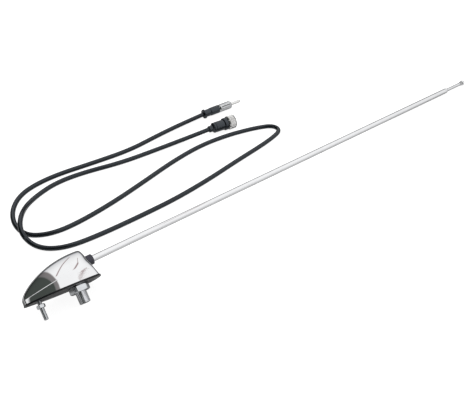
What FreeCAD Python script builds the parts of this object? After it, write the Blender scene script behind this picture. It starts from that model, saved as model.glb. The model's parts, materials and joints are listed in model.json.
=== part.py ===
import FreeCAD, Part
import os
from math import acos, cos, hypot, pi, radians, sin, tan

# A fender antenna with a telescopic mast, and the coaxial lead that goes with it.
# All sizes are millimetres. The antenna is drawn in its own panel frame (the panel's
# face is z = 0, the mounting stub's axis is x = y = 0, the mast points to +x) and is
# then laid down on the floor as it comes to rest: on the tip of the mast, the edge of
# the gasket and the end of the stub. The lead lies on the same floor.

V = FreeCAD.Vector

# Cutting bodies: how far they reach past what they cut, and one longer than the base
CUT_MARGIN = 1.0
THROUGH = 60.0

# Base housing
NOSE_X = -49.0
NOSE_HALF_WIDTH = 5.5
NOSE_HEIGHT = 6.6
NOSE_FULLNESS = 0.9
WIDEST_X = -8.0
WIDEST_HALF_WIDTH = 17.2
TAIL_X = 19.0
TAIL_HALF_WIDTH = 14.5
TAIL_RADIUS = 36.0
TAIL_LEAN = 16.0
RIDGE_TOP_X = 9.0
RIDGE_TOP_HEIGHT = 29.6
RIDGE_FULLNESS = 0.74
CREASE_NOSE_HEIGHT = 5.2
CREASE_RISE = 0.143
SKIRT_DRAFT = 0.5
SHOULDER_SHARE = 0.36
FLANK_BULGE = 0.075
HOUSING_WALL = 2.4
TAIL_FILLET = 3.0
TAIL_ROUNDING = 3.0
STATION_COUNT = 9

# Gasket under the housing
GASKET_THICKNESS = 1.6
GASKET_LEDGE = 0.9
GASKET_NOSE_LEDGE = 0.0
GASKET_REAR_LEDGE = 2.9
GASKET_LIP_HEIGHT = 1.4
GASKET_LIP_WIDTH = 1.2
GASKET_LIP_GAP = 0.5
GASKET_HOLE_CLEARANCE = 0.3

# Mounting stub: the fixing nut's thread at its root, the lead's thread on its end
STUB_DIAMETER = 10.0
STUB_FIXING_DIAMETER = 12.0
STUB_NECK_DIAMETER = 9.4
STUB_BORE = 6.4
STUB_REACH = 16.6
STUB_FLANGE_DIAMETER = 15.0
STUB_FLANGE_THICKNESS = 3.0
STUB_NECK_LENGTH = 3.0
STUB_SLOT_WIDTH = 1.6
STUB_SLOT_DEPTH = 1.8
STUB_NUT_FLATS = 17.0
STUB_NUT_HEIGHT = 6.2
BRIDGE_THICKNESS = 3.0
BRIDGE_HALF_LENGTH = 10.5
INSULATOR_BORE = 2.6
INSULATOR_COLLAR_DIAMETER = 8.6
INSULATOR_COLLAR_HEIGHT = 1.2
INSULATOR_RECESS = 1.5
CONTACT_DIAMETER = 2.6
CONTACT_RECESS = 4.0
CONTACT_RIVET_DIAMETER = 1.8
CONTACT_SHOULDER = 0.6

# Front stud and its nut
STUD_SETBACK = 12.4
STUD_X = NOSE_X + STUD_SETBACK
STUD_DIAMETER = 4.0
STUD_REACH = 17.2
STUD_POINT_LENGTH = 0.7
STUD_POINT_DIAMETER = 3.0
STUD_DEPTH = 8.0
STUD_BOSS_DIAMETER = 9.0
STUD_NUT_FLATS = 7.0
STUD_NUT_HEIGHT = 3.2
STUD_NUT_DROP = 2.9

# Mast
MAST_RISE = 16.2
MAST_PITCH = 3.9
COLLAR_DIAMETER = 9.8
COLLAR_SPIGOT_DIAMETER = 8.0
COLLAR_SPIGOT_START = 7.0
COLLAR_SPIGOT_OVERLAP = 3.0
COLLAR_END = 21.8
COLLAR_CHAMFER = 0.5
OUTER_DIAMETER = 6.0
OUTER_WALL = 0.35
OUTER_START = 9.0
OUTER_END = 530.0
MIDDLE_GAP = 0.2
MIDDLE_DIAMETER = OUTER_DIAMETER - 2 * (OUTER_WALL + MIDDLE_GAP)
MIDDLE_WALL = 0.35
MIDDLE_START = 70.0
ROD_GAP = 0.3
ROD_DIAMETER = MIDDLE_DIAMETER - 2 * (MIDDLE_WALL + ROD_GAP)
ROD_START = 105.0
ROD_SHOWN = 30.0
BALL_DIAMETER = 6.0
BALL_LENGTH = 6.4
NECK_LENGTH = 4.0
SLIDE_CLEARANCE = 0.05
FOOT_LENGTH = 9.0
FOOT_PLUG_LENGTH = 6.0
CROWN_GAP = 0.5
STEM_DIAMETER = 3.0
STEM_LENGTH = 6.2
FOOT_FLANGE_THICKNESS = 2.0

# Feed strip from the mast's foot to the stub's contact
STRIP_THICKNESS = 0.5
STRIP_WIDTH = 5.0
STRIP_EYE_CLEARANCE = 0.1
STRIP_TAIL = 3.0

# Coaxial lead
CORD_DIAMETER = 5.0
CORD_SEAT = 0.4
COUPLING_AZIMUTH = -7.5
PLUG_AZIMUTH = -4.5

# Coupling at one end of the lead: lengths run from the boot's rear end
COUPLING_NECK_DIAMETER = 7.6
COUPLING_NECK_LENGTH = 5.0
COUPLING_BOOT_DIAMETER = 12.0
COUPLING_BOOT_LENGTH = 20.0
COUPLING_FLANGE_DIAMETER = 14.4
COUPLING_FLANGE_START = 20.0
COUPLING_FLANGE_LENGTH = 4.6
COUPLING_BARREL_DIAMETER = 9.2
COUPLING_BARREL_WALL = 1.2
BARREL_SEAT = 10.0
CORE_RECESS = 4.0
PIN_RECESS = 2.0
COUPLING_NUT_DIAMETER = 16.0
COUPLING_NUT_LENGTH = 9.6
COUPLING_NUT_WALL = 1.6
COUPLING_NUT_GAP = 0.3
COUPLING_RIM_DIAMETER = 11.0
COUPLING_RIM_LENGTH = 1.2
COUPLING_PIN_DIAMETER = 2.4

# Radio plug at the other end
PLUG_BOOT_DIAMETER = 9.6
PLUG_BOOT_REAR_DIAMETER = 8.4
PLUG_BOOT_LENGTH = 21.5
PLUG_COLLAR_DIAMETER = 11.0
PLUG_COLLAR_LENGTH = 2.4
PLUG_BARREL_DIAMETER = 9.2
PLUG_BARREL_LENGTH = 18.0
PLUG_BARREL_WALL = 0.6
PLUG_SLOT_WIDTH = 1.0
PLUG_SLOT_LENGTH = 12.0
PLUG_SLOT_COUNT = 4
PLUG_PIN_DIAMETER = 3.2
PLUG_PIN_LENGTH = 15.0
PLUG_PIN_WAIST = 2.4
PLUG_SEAT = 12.0

# The lead's route over the floor, from the coupling to the plug
COUPLING_HEIGHT = COUPLING_NUT_DIAMETER / 2
PLUG_HEIGHT = PLUG_COLLAR_DIAMETER / 2
ON_FLOOR = CORD_DIAMETER / 2
OVER_CROSSING = ON_FLOOR + 2 * CORD_DIAMETER + 0.5
CORD_ROUTE = [
    (-16.0, 123.5, COUPLING_HEIGHT),
    (-39.4, 127.0, 6.4),
    (-80.0, 135.2, ON_FLOOR),
    (-123.9, 139.5, ON_FLOOR),
    (-167.3, 150.5, ON_FLOOR),
    (-197.8, 153.0, ON_FLOOR),
    (-221.5, 147.3, ON_FLOOR),
    (-240.3, 135.9, 5.3),
    (-254.8, 116.1, OVER_CROSSING),
    (-263.4, 101.3, OVER_CROSSING),
    (-266.0, 88.5, 10.0),
    (-261.5, 77.1, 3.8),
    (-251.6, 65.4, ON_FLOOR),
    (-234.0, 56.5, ON_FLOOR),
    (-202.6, 52.7, ON_FLOOR),
    (-157.8, 51.1, ON_FLOOR),
    (-112.4, 51.0, ON_FLOOR),
    (-66.8, 55.3, ON_FLOOR),
    (-21.9, 62.0, ON_FLOOR),
    (16.4, 66.7, ON_FLOOR),
    (36.2, 70.5, ON_FLOOR),
    (50.7, 74.9, ON_FLOOR),
    (54.2, 82.7, ON_FLOOR),
    (50.0, 90.3, ON_FLOOR),
    (38.7, 95.7, ON_FLOOR),
    (22.2, 101.3, ON_FLOOR),
    (-2.8, 107.1, ON_FLOOR),
    (-37.8, 110.4, ON_FLOOR),
    (-79.6, 105.5, ON_FLOOR),
    (-124.2, 95.6, ON_FLOOR),
    (-169.2, 86.6, ON_FLOOR),
    (-210.8, 81.9, ON_FLOOR),
    (-236.6, 83.2, ON_FLOOR),
    (-254.2, 91.4, ON_FLOOR),
    (-261.9, 103.1, ON_FLOOR),
    (-262.3, 121.4, ON_FLOOR),
    (-254.7, 140.5, ON_FLOOR),
    (-240.7, 155.6, ON_FLOOR),
    (-222.3, 163.4, ON_FLOOR),
    (-192.4, 165.4, ON_FLOOR),
    (-147.8, 158.7, ON_FLOOR),
    (-104.3, 153.7, ON_FLOOR),
    (-65.0, 157.6, ON_FLOOR),
    (-30.3, 157.3, 4.3),
    (0.7, 156.0, PLUG_HEIGHT),
]


def lathe(profile):
    """A solid turned about the x axis from (x, radius) pairs; the profile closes on itself."""
    points = [V(x, 0, r) for x, r in profile]
    face = Part.Face(Part.makePolygon(points + [points[0]]))
    return face.revolve(V(0, 0, 0), V(1, 0, 0), 360)


def rod(radius, x_start, x_end):
    """A round bar along the x axis."""
    return Part.makeCylinder(radius, x_end - x_start, V(x_start, 0, 0), V(1, 0, 0))


def hex_nut(flats, height, bore, z_top):
    """A hex nut about the z axis with chamfered corners, hanging down from z_top."""
    corner = flats / 2 / cos(radians(30))
    ring = [V(corner * cos(radians(a)), corner * sin(radians(a)), z_top - height)
            for a in range(0, 361, 60)]
    nut = Part.Face(Part.makePolygon(ring)).extrude(V(0, 0, height))
    slope = (corner - flats / 2) * tan(radians(30)) + 0.05
    chamfer_top = Part.makeCone(corner + height / tan(radians(30)), flats / 2,
                                height + slope, V(0, 0, z_top - height - slope))
    chamfer_low = Part.makeCone(flats / 2, corner + height / tan(radians(30)),
                                height + slope, V(0, 0, z_top - height))
    nut = nut.common(chamfer_low).common(chamfer_top)
    return nut.cut(Part.makeCylinder(bore / 2, height + 2, V(0, 0, z_top - height - 1)))


def half_width(x):
    """The housing's half width at its foot: a blunt nose, full cheeks, a slight taper aft."""
    if x < WIDEST_X:
        share = (x - NOSE_X) / (WIDEST_X - NOSE_X)
        swell = sin(pi / 2 * max(share, 0) ** NOSE_FULLNESS)
        return NOSE_HALF_WIDTH + (WIDEST_HALF_WIDTH - NOSE_HALF_WIDTH) * swell
    share = (x - WIDEST_X) / (TAIL_X - WIDEST_X)
    return WIDEST_HALF_WIDTH - (WIDEST_HALF_WIDTH - TAIL_HALF_WIDTH) * share ** 2


def ridge_height(x):
    """The height of the housing's ridge over the panel, rising from the nose to the tail."""
    share = min(max((x - NOSE_X) / (RIDGE_TOP_X - NOSE_X), 0), 1)
    return NOSE_HEIGHT + (RIDGE_TOP_HEIGHT - NOSE_HEIGHT) * sin(pi / 2 * share ** RIDGE_FULLNESS)


def housing_section(x, inset, z_foot):
    """The housing's closed cross-section at x, drawn inwards by inset."""
    w = half_width(x) - inset
    crease = CREASE_NOSE_HEIGHT + CREASE_RISE * (x - NOSE_X) - inset / 3
    top = max(ridge_height(x) - inset, crease + 0.6)
    wc = w - SKIRT_DRAFT
    ws = SHOULDER_SHARE * w
    zs = crease + (top - crease) * 0.88
    run = hypot(wc - ws, zs - crease)
    bulge = FLANK_BULGE * run
    mid = V(x, (wc + ws) / 2 + bulge * (zs - crease) / run, (crease + zs) / 2 + bulge * (wc - ws) / run)
    right = [V(x, w, z_foot), V(x, wc, crease), mid, V(x, ws, zs)]
    left = [V(p.x, -p.y, p.z) for p in right]
    edges = [
        Part.makeLine(left[0], right[0]),
        Part.makeLine(right[0], right[1]),
        Part.Arc(right[1], right[2], right[3]).toShape(),
        Part.Arc(right[3], V(x, 0, top), left[3]).toShape(),
        Part.Arc(left[3], left[2], left[1]).toShape(),
        Part.makeLine(left[1], left[0]),
    ]
    return Part.Wire(edges)


def tail_axis():
    """A point on the axis of the tail's round surface, and the axis's leaning direction."""
    lean = radians(TAIL_LEAN)
    return V(TAIL_X - TAIL_RADIUS, 0, GASKET_THICKNESS), V(-sin(lean), 0, cos(lean))


def tail_cutter(inset):
    """All that lies ahead of the leaning round surface that ends the housing."""
    foot, axis = tail_axis()
    round_end = Part.makeCylinder(TAIL_RADIUS - inset, 2 * THROUGH, foot - axis * THROUGH, axis)
    ahead = Part.makeBox(2 * THROUGH, 2 * (TAIL_RADIUS - inset), 2 * THROUGH,
                         V(-2 * THROUGH, inset - TAIL_RADIUS, -THROUGH))
    ahead.Placement = FreeCAD.Placement(foot, FreeCAD.Rotation(V(0, 1, 0), -TAIL_LEAN))
    return round_end.fuse(ahead)


def housing_body(inset, z_foot):
    """The housing's outer form, or with an inset the hollow inside it."""
    first = NOSE_X + inset
    last = TAIL_X + 2.0
    spread = [(i / (STATION_COUNT - 1)) ** 1.35 for i in range(STATION_COUNT)]
    wires = [housing_section(first + (last - first) * s, inset, z_foot) for s in spread]
    return Part.makeLoft(wires, True, False).common(tail_cutter(inset))


def base_housing():
    """The die-cast, chrome-plated housing: a wall, a bridge for the stub and a stud boss."""
    outer = housing_body(0, GASKET_THICKNESS)
    tail_edges = [e for e in outer.Edges if is_tail_edge(e)]
    outer = outer.makeFillet(TAIL_FILLET, tail_edges)
    hollow = housing_body(HOUSING_WALL, GASKET_THICKNESS - 1)
    bridge_low = GASKET_THICKNESS + STUB_FLANGE_THICKNESS
    bridge = Part.makeBox(2 * BRIDGE_HALF_LENGTH, THROUGH, BRIDGE_THICKNESS,
                          V(-BRIDGE_HALF_LENGTH, -THROUGH / 2, bridge_low))
    boss = Part.makeCylinder(STUD_BOSS_DIAMETER / 2, THROUGH, V(STUD_X, 0, GASKET_THICKNESS))
    inside = bridge.fuse(boss).common(outer)
    housing = outer.cut(hollow).fuse(inside)
    neck_hole = Part.makeCylinder(STUB_NECK_DIAMETER / 2, BRIDGE_THICKNESS + 2 * CUT_MARGIN,
                                  V(0, 0, bridge_low - CUT_MARGIN))
    stud_hole = Part.makeCylinder(STUD_DIAMETER / 2, STUD_DEPTH + CUT_MARGIN,
                                  V(STUD_X, 0, GASKET_THICKNESS - CUT_MARGIN))
    return housing.cut([neck_hole, stud_hole, on_mast(rod(COLLAR_SPIGOT_DIAMETER / 2, 0, THROUGH))])


def is_tail_edge(edge):
    """True for the edges round the housing's tail face, its foot left out."""
    box = edge.BoundBox
    if box.ZMax < GASKET_THICKNESS + 0.1:
        return False
    ends = [edge.valueAt(edge.FirstParameter), edge.valueAt(edge.LastParameter)]
    middle = edge.valueAt((edge.FirstParameter + edge.LastParameter) / 2)
    centre, axis = tail_axis()
    gaps = []
    for p in ends + [middle]:
        out = p - centre
        gaps.append(abs((out - axis * out.dot(axis)).Length - TAIL_RADIUS))
    return max(gaps) < 0.01 and middle.x > 0


def plan_outline(offset, fore, rear, z):
    """The plan of the housing's foot, grown by offset at the flanks, by fore past the nose and
    by rear past the tail, as a wire at height z."""
    flank = TAIL_X - TAIL_ROUNDING + min(offset, 0) - NOSE_X
    xs = [NOSE_X + flank * (i / 10) ** 1.2 for i in range(11)]
    right = [V(x, half_width(x) + offset, z) for x in xs]
    right[0] = V(NOSE_X - fore, NOSE_HALF_WIDTH + offset / 2, z)
    left = [V(p.x, -p.y, p.z) for p in right]
    flank_right = Part.BSplineCurve()
    flank_right.interpolate(right)
    flank_left = Part.BSplineCurve()
    flank_left.interpolate(list(reversed(left)))
    tail = Part.Arc(right[-1], V(TAIL_X + rear, 0, z), left[-1])
    nose = Part.makeLine(left[0], right[0])
    return Part.Wire([flank_right.toShape(), tail.toShape(), flank_left.toShape(), nose])


def pad_outline():
    """The outline of the gasket's underside."""
    return plan_outline(GASKET_LEDGE, GASKET_NOSE_LEDGE, GASKET_REAR_LEDGE, 0)


def gasket():
    """The rubber gasket: a thin pad that shows round the housing, with a lip inside it."""
    pad = Part.Face(pad_outline()).extrude(V(0, 0, GASKET_THICKNESS))
    outer = -HOUSING_WALL - GASKET_LIP_GAP
    inner = outer - GASKET_LIP_WIDTH
    lip_out = Part.Face(plan_outline(outer, outer, outer, GASKET_THICKNESS))
    lip_in = Part.Face(plan_outline(inner, inner, inner, GASKET_THICKNESS))
    lip = lip_out.cut(lip_in).extrude(V(0, 0, GASKET_LIP_HEIGHT))
    shape = pad.fuse(lip).removeSplitter()
    for x, diameter in ((0, STUB_FIXING_DIAMETER), (STUD_X, STUD_DIAMETER)):
        hole = diameter / 2 + GASKET_HOLE_CLEARANCE
        shape = shape.cut(Part.makeCylinder(hole, THROUGH, V(x, 0, -CUT_MARGIN)))
    return shape


def mounting_stub():
    """The hollow stub: from the top a neck in the bridge, a flange under it, the thread that
    the fixing nut fills, and a thinner end with slots across it for the lead's coupling."""
    neck = Part.makeCylinder(STUB_NECK_DIAMETER / 2, STUB_NECK_LENGTH,
                             V(0, 0, GASKET_THICKNESS + STUB_FLANGE_THICKNESS))
    flange = Part.makeCylinder(STUB_FLANGE_DIAMETER / 2, STUB_FLANGE_THICKNESS,
                               V(0, 0, GASKET_THICKNESS))
    fixing = Part.makeCylinder(STUB_FIXING_DIAMETER / 2, STUB_NUT_HEIGHT + GASKET_THICKNESS,
                               V(0, 0, -STUB_NUT_HEIGHT))
    end = Part.makeCylinder(STUB_DIAMETER / 2, STUB_REACH - STUB_NUT_HEIGHT, V(0, 0, -STUB_REACH))
    stub = neck.fuse([flange, fixing, end]).removeSplitter()
    bore = Part.makeCylinder(STUB_BORE / 2, THROUGH, V(0, 0, -STUB_REACH - CUT_MARGIN))
    slot = Part.makeBox(THROUGH, STUB_SLOT_WIDTH, STUB_SLOT_DEPTH + CUT_MARGIN,
                        V(-THROUGH / 2, -STUB_SLOT_WIDTH / 2, -STUB_REACH - CUT_MARGIN))
    return stub.cut([bore, slot])


def stub_insulator():
    """The plastic sleeve inside the stub, with a collar on the stub's upper end."""
    top = GASKET_THICKNESS + STUB_FLANGE_THICKNESS + STUB_NECK_LENGTH
    low = -STUB_REACH + INSULATOR_RECESS
    sleeve = Part.makeCylinder(STUB_BORE / 2, top - low, V(0, 0, low))
    collar = Part.makeCylinder(INSULATOR_COLLAR_DIAMETER / 2, INSULATOR_COLLAR_HEIGHT, V(0, 0, top))
    shape = sleeve.fuse(collar).removeSplitter()
    return shape.cut(Part.makeCylinder(INSULATOR_BORE / 2, THROUGH, V(0, 0, low - CUT_MARGIN)))


def strip_height():
    """Where the feed strip's foot lies: on the contact's shoulder."""
    top = GASKET_THICKNESS + STUB_FLANGE_THICKNESS + STUB_NECK_LENGTH + INSULATOR_COLLAR_HEIGHT
    return top + CONTACT_SHOULDER


def stub_contact():
    """The contact pin in the sleeve, with a shoulder and a rivet end for the feed strip."""
    low = -STUB_REACH + CONTACT_RECESS
    seat = strip_height() - CONTACT_SHOULDER
    pin = Part.makeCylinder(CONTACT_DIAMETER / 2, seat - low, V(0, 0, low))
    tip = Part.makeCone(CONTACT_DIAMETER / 4, CONTACT_DIAMETER / 2, 1.2, V(0, 0, low - 1.2))
    shoulder = Part.makeCylinder(CONTACT_DIAMETER / 2 + 0.9, CONTACT_SHOULDER, V(0, 0, seat))
    rivet = Part.makeCylinder(CONTACT_RIVET_DIAMETER / 2, STRIP_THICKNESS + 0.5,
                              V(0, 0, strip_height()))
    return pin.fuse([tip, shoulder, rivet]).removeSplitter()


def front_stud():
    """The threaded stud in the nose, pressed into its boss, with a pointed end."""
    shank_low = -STUD_REACH + STUD_POINT_LENGTH
    shank = Part.makeCylinder(STUD_DIAMETER / 2, GASKET_THICKNESS + STUD_DEPTH - shank_low,
                              V(STUD_X, 0, shank_low))
    point = Part.makeCone(STUD_POINT_DIAMETER / 2, STUD_DIAMETER / 2, STUD_POINT_LENGTH,
                          V(STUD_X, 0, -STUD_REACH))
    return shank.fuse(point).removeSplitter()


def stub_nut():
    """The large hex nut, run up against the gasket."""
    return hex_nut(STUB_NUT_FLATS, STUB_NUT_HEIGHT, STUB_FIXING_DIAMETER, 0)


def front_nut():
    """The small hex nut, partway up the front stud."""
    nut = hex_nut(STUD_NUT_FLATS, STUD_NUT_HEIGHT, STUD_DIAMETER, -STUD_NUT_DROP)
    nut.translate(V(STUD_X, 0, 0))
    return nut


def on_mast(shape):
    """Moves a shape drawn along the x axis onto the mast's axis."""
    placed = shape.copy()
    placed.Placement = FreeCAD.Placement(V(0, 0, MAST_RISE),
                                         FreeCAD.Rotation(V(0, 1, 0), -MAST_PITCH))
    return placed


def mast_collar():
    """The black collar: a spigot in the housing's tail and a head that seats on its face."""
    radius = COLLAR_DIAMETER / 2
    start = COLLAR_SPIGOT_START
    head = lathe([(start, 0), (start, radius), (COLLAR_END - COLLAR_CHAMFER, radius),
                  (COLLAR_END, radius - COLLAR_CHAMFER), (COLLAR_END, 0)])
    head = on_mast(head).cut(tail_cutter(0))
    spigot = on_mast(rod(COLLAR_SPIGOT_DIAMETER / 2, start, COLLAR_END - COLLAR_SPIGOT_OVERLAP))
    bore = on_mast(rod(OUTER_DIAMETER / 2, OUTER_START, THROUGH))
    passage = on_mast(rod(STEM_DIAMETER / 2, 0, THROUGH))
    return head.fuse(spigot).removeSplitter().cut([bore, passage])


def mast_foot():
    """The turned foot in the mast's lower end: a plug, a flange and a stem for the strip."""
    bore = OUTER_DIAMETER / 2 - OUTER_WALL
    stem_start = COLLAR_SPIGOT_START - STEM_LENGTH
    stem = rod(STEM_DIAMETER / 2, stem_start, OUTER_START)
    plug = rod(bore, OUTER_START, OUTER_START + FOOT_PLUG_LENGTH)
    head = rod(STEM_DIAMETER / 2 + 1.2, COLLAR_SPIGOT_START - FOOT_FLANGE_THICKNESS,
               COLLAR_SPIGOT_START)
    return on_mast(stem.fuse([plug, head]).removeSplitter())


def feed_strip():
    """The bent brass strip: an eye on the foot's stem, a leg down, an eye on the contact."""
    stem_x = COLLAR_SPIGOT_START - FOOT_FLANGE_THICKNESS
    pitch = radians(MAST_PITCH)
    low = strip_height()
    stem_z = MAST_RISE + stem_x * sin(pitch)
    eye = STRIP_WIDTH / 2
    x = stem_x * cos(pitch) - STRIP_THICKNESS - stem_slack()
    leg = Part.makeBox(STRIP_THICKNESS, STRIP_WIDTH, stem_z - low, V(x, -eye, low))
    upper = Part.makeCylinder(eye, STRIP_THICKNESS, V(x, 0, stem_z), V(1, 0, 0))
    foot = Part.makeBox(x + STRIP_TAIL + STRIP_THICKNESS - eye + 1, STRIP_WIDTH, STRIP_THICKNESS,
                        V(-STRIP_TAIL + eye - 1, -eye, low))
    lower = Part.makeCylinder(eye, STRIP_THICKNESS, V(-STRIP_TAIL + eye - 1, 0, low))
    strip = leg.fuse([upper, foot, lower]).removeSplitter()
    rivet_hole = Part.makeCylinder(CONTACT_RIVET_DIAMETER / 2, STRIP_THICKNESS + 2 * CUT_MARGIN,
                                   V(0, 0, low - CUT_MARGIN))
    stem_hole = Part.makeCylinder(STEM_DIAMETER / 2 + STRIP_EYE_CLEARANCE,
                                  STRIP_THICKNESS + 2 * CUT_MARGIN,
                                  V(x - CUT_MARGIN, 0, stem_z), V(1, 0, 0))
    return strip.cut([rivet_hole, stem_hole])


def stem_slack():
    """How far the strip stands off the leaning flange so that their rims do not meet."""
    return (STEM_DIAMETER / 2 + 1.2) * sin(radians(MAST_PITCH)) + 0.05


def telescope_tube(diameter, wall, start, end, inner_diameter):
    """A drawn tube whose mouth is rolled in to guide the next section."""
    r = diameter / 2
    mouth = inner_diameter / 2 + SLIDE_CLEARANCE
    return lathe([(start, r - wall), (start, r), (end - 1.0, r), (end, (r + mouth) / 2), (end, mouth),
                  (end - NECK_LENGTH, mouth), (end - NECK_LENGTH - 1.0, r - wall)])


def mast_outer_tube():
    """The fixed section of the mast."""
    return on_mast(telescope_tube(OUTER_DIAMETER, OUTER_WALL, OUTER_START, OUTER_END,
                                  MIDDLE_DIAMETER))


def mast_middle_tube():
    """The middle section, pushed home."""
    return on_mast(telescope_tube(MIDDLE_DIAMETER, MIDDLE_WALL, MIDDLE_START,
                                  OUTER_END + CROWN_GAP, ROD_DIAMETER))


def sliding_foot(tube_bore, carrier_bore, start):
    """A turned foot: a plug in the tube's end and a head that runs in the carrier's bore."""
    head = carrier_bore / 2 - SLIDE_CLEARANCE
    plug = tube_bore / 2
    return lathe([(start - FOOT_LENGTH, 0), (start - FOOT_LENGTH, head - 0.4),
                  (start - FOOT_LENGTH + 0.6, head), (start, head), (start, plug),
                  (start + FOOT_PLUG_LENGTH, plug), (start + FOOT_PLUG_LENGTH, 0)])


def middle_foot():
    """The brass foot of the middle section."""
    return on_mast(sliding_foot(MIDDLE_DIAMETER - 2 * MIDDLE_WALL, OUTER_DIAMETER - 2 * OUTER_WALL,
                                MIDDLE_START))


def tip_foot():
    """The brass sleeve on the inner end of the tip rod."""
    r_out = MIDDLE_DIAMETER / 2 - MIDDLE_WALL - SLIDE_CLEARANCE
    r_in = ROD_DIAMETER / 2
    end = ROD_START + FOOT_LENGTH
    return on_mast(lathe([(ROD_START, r_in), (ROD_START, r_out - 0.15), (ROD_START + 0.4, r_out),
                          (end, r_out), (end, r_in)]))


def rod_end():
    """Where the tip rod ends, inside its ball."""
    return OUTER_END + ROD_SHOWN


def mast_tip_rod():
    """The solid tip section."""
    return on_mast(rod(ROD_DIAMETER / 2, ROD_START, rod_end()))


def mast_tip_ball():
    """The round knob pressed on the end of the tip rod: a ball with a short collar."""
    r = BALL_DIAMETER / 2
    centre = rod_end() + BALL_LENGTH - r - 1.0
    ball = Part.makeSphere(r, V(centre, 0, 0))
    collar = rod(ROD_DIAMETER / 2 + 0.7, centre - r - 1.4, centre)
    seat = rod(ROD_DIAMETER / 2, 0, rod_end())
    return on_mast(ball.fuse(collar).removeSplitter().cut(seat))


def ball_centre():
    """The centre of the knob, in the panel frame."""
    along = rod_end() + BALL_LENGTH - BALL_DIAMETER / 2 - 1.0
    pitch = radians(MAST_PITCH)
    return V(along * cos(pitch), 0, MAST_RISE + along * sin(pitch))


def rest_points():
    """The points of the base that may touch the floor: gasket edge, stub end, stud end."""
    edge = pad_outline().discretize(160)
    stub = Part.makeCircle(STUB_DIAMETER / 2, V(0, 0, -STUB_REACH)).discretize(73)
    stud = Part.makeCircle(STUD_POINT_DIAMETER / 2, V(STUD_X, 0, -STUD_REACH)).discretize(25)
    return edge, stub + stud


def tilt(roll, dip):
    """The turn from the panel frame to the floor: roll about the mast, then dip its tip."""
    return (FreeCAD.Rotation(V(0, 1, 0), dip)
            * FreeCAD.Rotation(V(1, 0, 0), roll)
            * FreeCAD.Rotation(V(0, 1, 0), MAST_PITCH))


def lay_down():
    """The placement in which gasket edge, stub and mast tip all touch the floor at once."""
    edge, studs = rest_points()
    knob = ball_centre()

    def lows(roll, dip):
        turn = tilt(roll, dip)
        low_edge = min(turn.multVec(p).z for p in edge)
        low_studs = min(turn.multVec(p).z for p in studs)
        return low_edge, low_studs, turn.multVec(knob).z - BALL_DIAMETER / 2

    def level_dip(roll):
        small, large = -5.0, 10.0
        for _ in range(40):
            dip = (small + large) / 2
            low_edge, low_studs, low_knob = lows(roll, dip)
            if low_knob > min(low_edge, low_studs):
                small = dip
            else:
                large = dip
        return small

    small, large = -80.0, -10.0
    for _ in range(40):
        roll = (small + large) / 2
        low_edge, low_studs, low_knob = lows(roll, level_dip(roll))
        if low_edge < low_studs:
            small = roll
        else:
            large = roll
    dip = level_dip(small)
    return FreeCAD.Placement(V(0, 0, -min(lows(small, dip))), tilt(small, dip))


def along_x(shape, start, azimuth):
    """Lays a shape drawn along the x axis on the floor, from start and turned by azimuth."""
    placed = shape.copy()
    placed.Placement = FreeCAD.Placement(V(*start), FreeCAD.Rotation(V(0, 0, 1), azimuth))
    return placed


def coupling_boot():
    """The moulded boot of the coupling: a neck on the cable, then a plain round grip."""
    neck = COUPLING_NECK_DIAMETER / 2
    grip = COUPLING_BOOT_DIAMETER / 2
    barrel = COUPLING_BARREL_DIAMETER / 2
    end = COUPLING_BOOT_LENGTH
    return lathe([(0, 0), (0, neck - 0.5), (0.6, neck), (COUPLING_NECK_LENGTH, neck),
                  (COUPLING_NECK_LENGTH + 0.6, grip - 0.8), (COUPLING_NECK_LENGTH + 1.6, grip),
                  (end, grip), (end, barrel), (BARREL_SEAT, barrel), (BARREL_SEAT, 0)])


def coupling_body():
    """The metal body of the coupling: a barrel in the boot, a flange and a rim for the nut."""
    barrel = COUPLING_BARREL_DIAMETER / 2
    flange = COUPLING_FLANGE_DIAMETER / 2
    rim = COUPLING_RIM_DIAMETER / 2
    flange_end = COUPLING_FLANGE_START + COUPLING_FLANGE_LENGTH
    nut_end = nut_start() + COUPLING_NUT_WALL + COUPLING_NUT_GAP
    bore = barrel - COUPLING_BARREL_WALL
    return lathe([(BARREL_SEAT, bore), (BARREL_SEAT, barrel), (COUPLING_FLANGE_START, barrel),
                  (COUPLING_FLANGE_START, flange - 0.5), (COUPLING_FLANGE_START + 0.5, flange),
                  (flange_end - 0.5, flange), (flange_end, flange - 0.5), (flange_end, barrel),
                  (nut_end, barrel), (nut_end, rim), (nut_end + COUPLING_RIM_LENGTH, rim),
                  (nut_end + COUPLING_RIM_LENGTH, bore)])


def nut_start():
    """Where the coupling nut starts, a gap in front of the flange."""
    return COUPLING_FLANGE_START + COUPLING_FLANGE_LENGTH + COUPLING_NUT_GAP


def coupling_nut():
    """The knurled nut that spins on the coupling's body and is held by its rim."""
    r = COUPLING_NUT_DIAMETER / 2
    start = nut_start()
    end = start + COUPLING_NUT_LENGTH
    hole = COUPLING_BARREL_DIAMETER / 2 + SLIDE_CLEARANCE
    room = COUPLING_RIM_DIAMETER / 2 + 0.3
    inside = start + COUPLING_NUT_WALL
    relief = inside + COUPLING_RIM_LENGTH + 2 * COUPLING_NUT_GAP
    thread = STUB_DIAMETER / 2
    return lathe([(start, hole), (start, r - 0.5), (start + 0.5, r), (end - 0.5, r), (end, r - 0.5),
                  (end, thread), (relief, thread), (relief, room), (inside, room), (inside, hole)])


def coupling_insulator():
    """The plastic core of the coupling."""
    r = COUPLING_BARREL_DIAMETER / 2 - COUPLING_BARREL_WALL
    end = nut_start() + COUPLING_NUT_WALL + COUPLING_NUT_GAP + COUPLING_RIM_LENGTH
    start = BARREL_SEAT + CORE_RECESS
    pin = COUPLING_PIN_DIAMETER / 2
    return lathe([(start, pin), (start, r), (end, r), (end, pin)])


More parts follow.
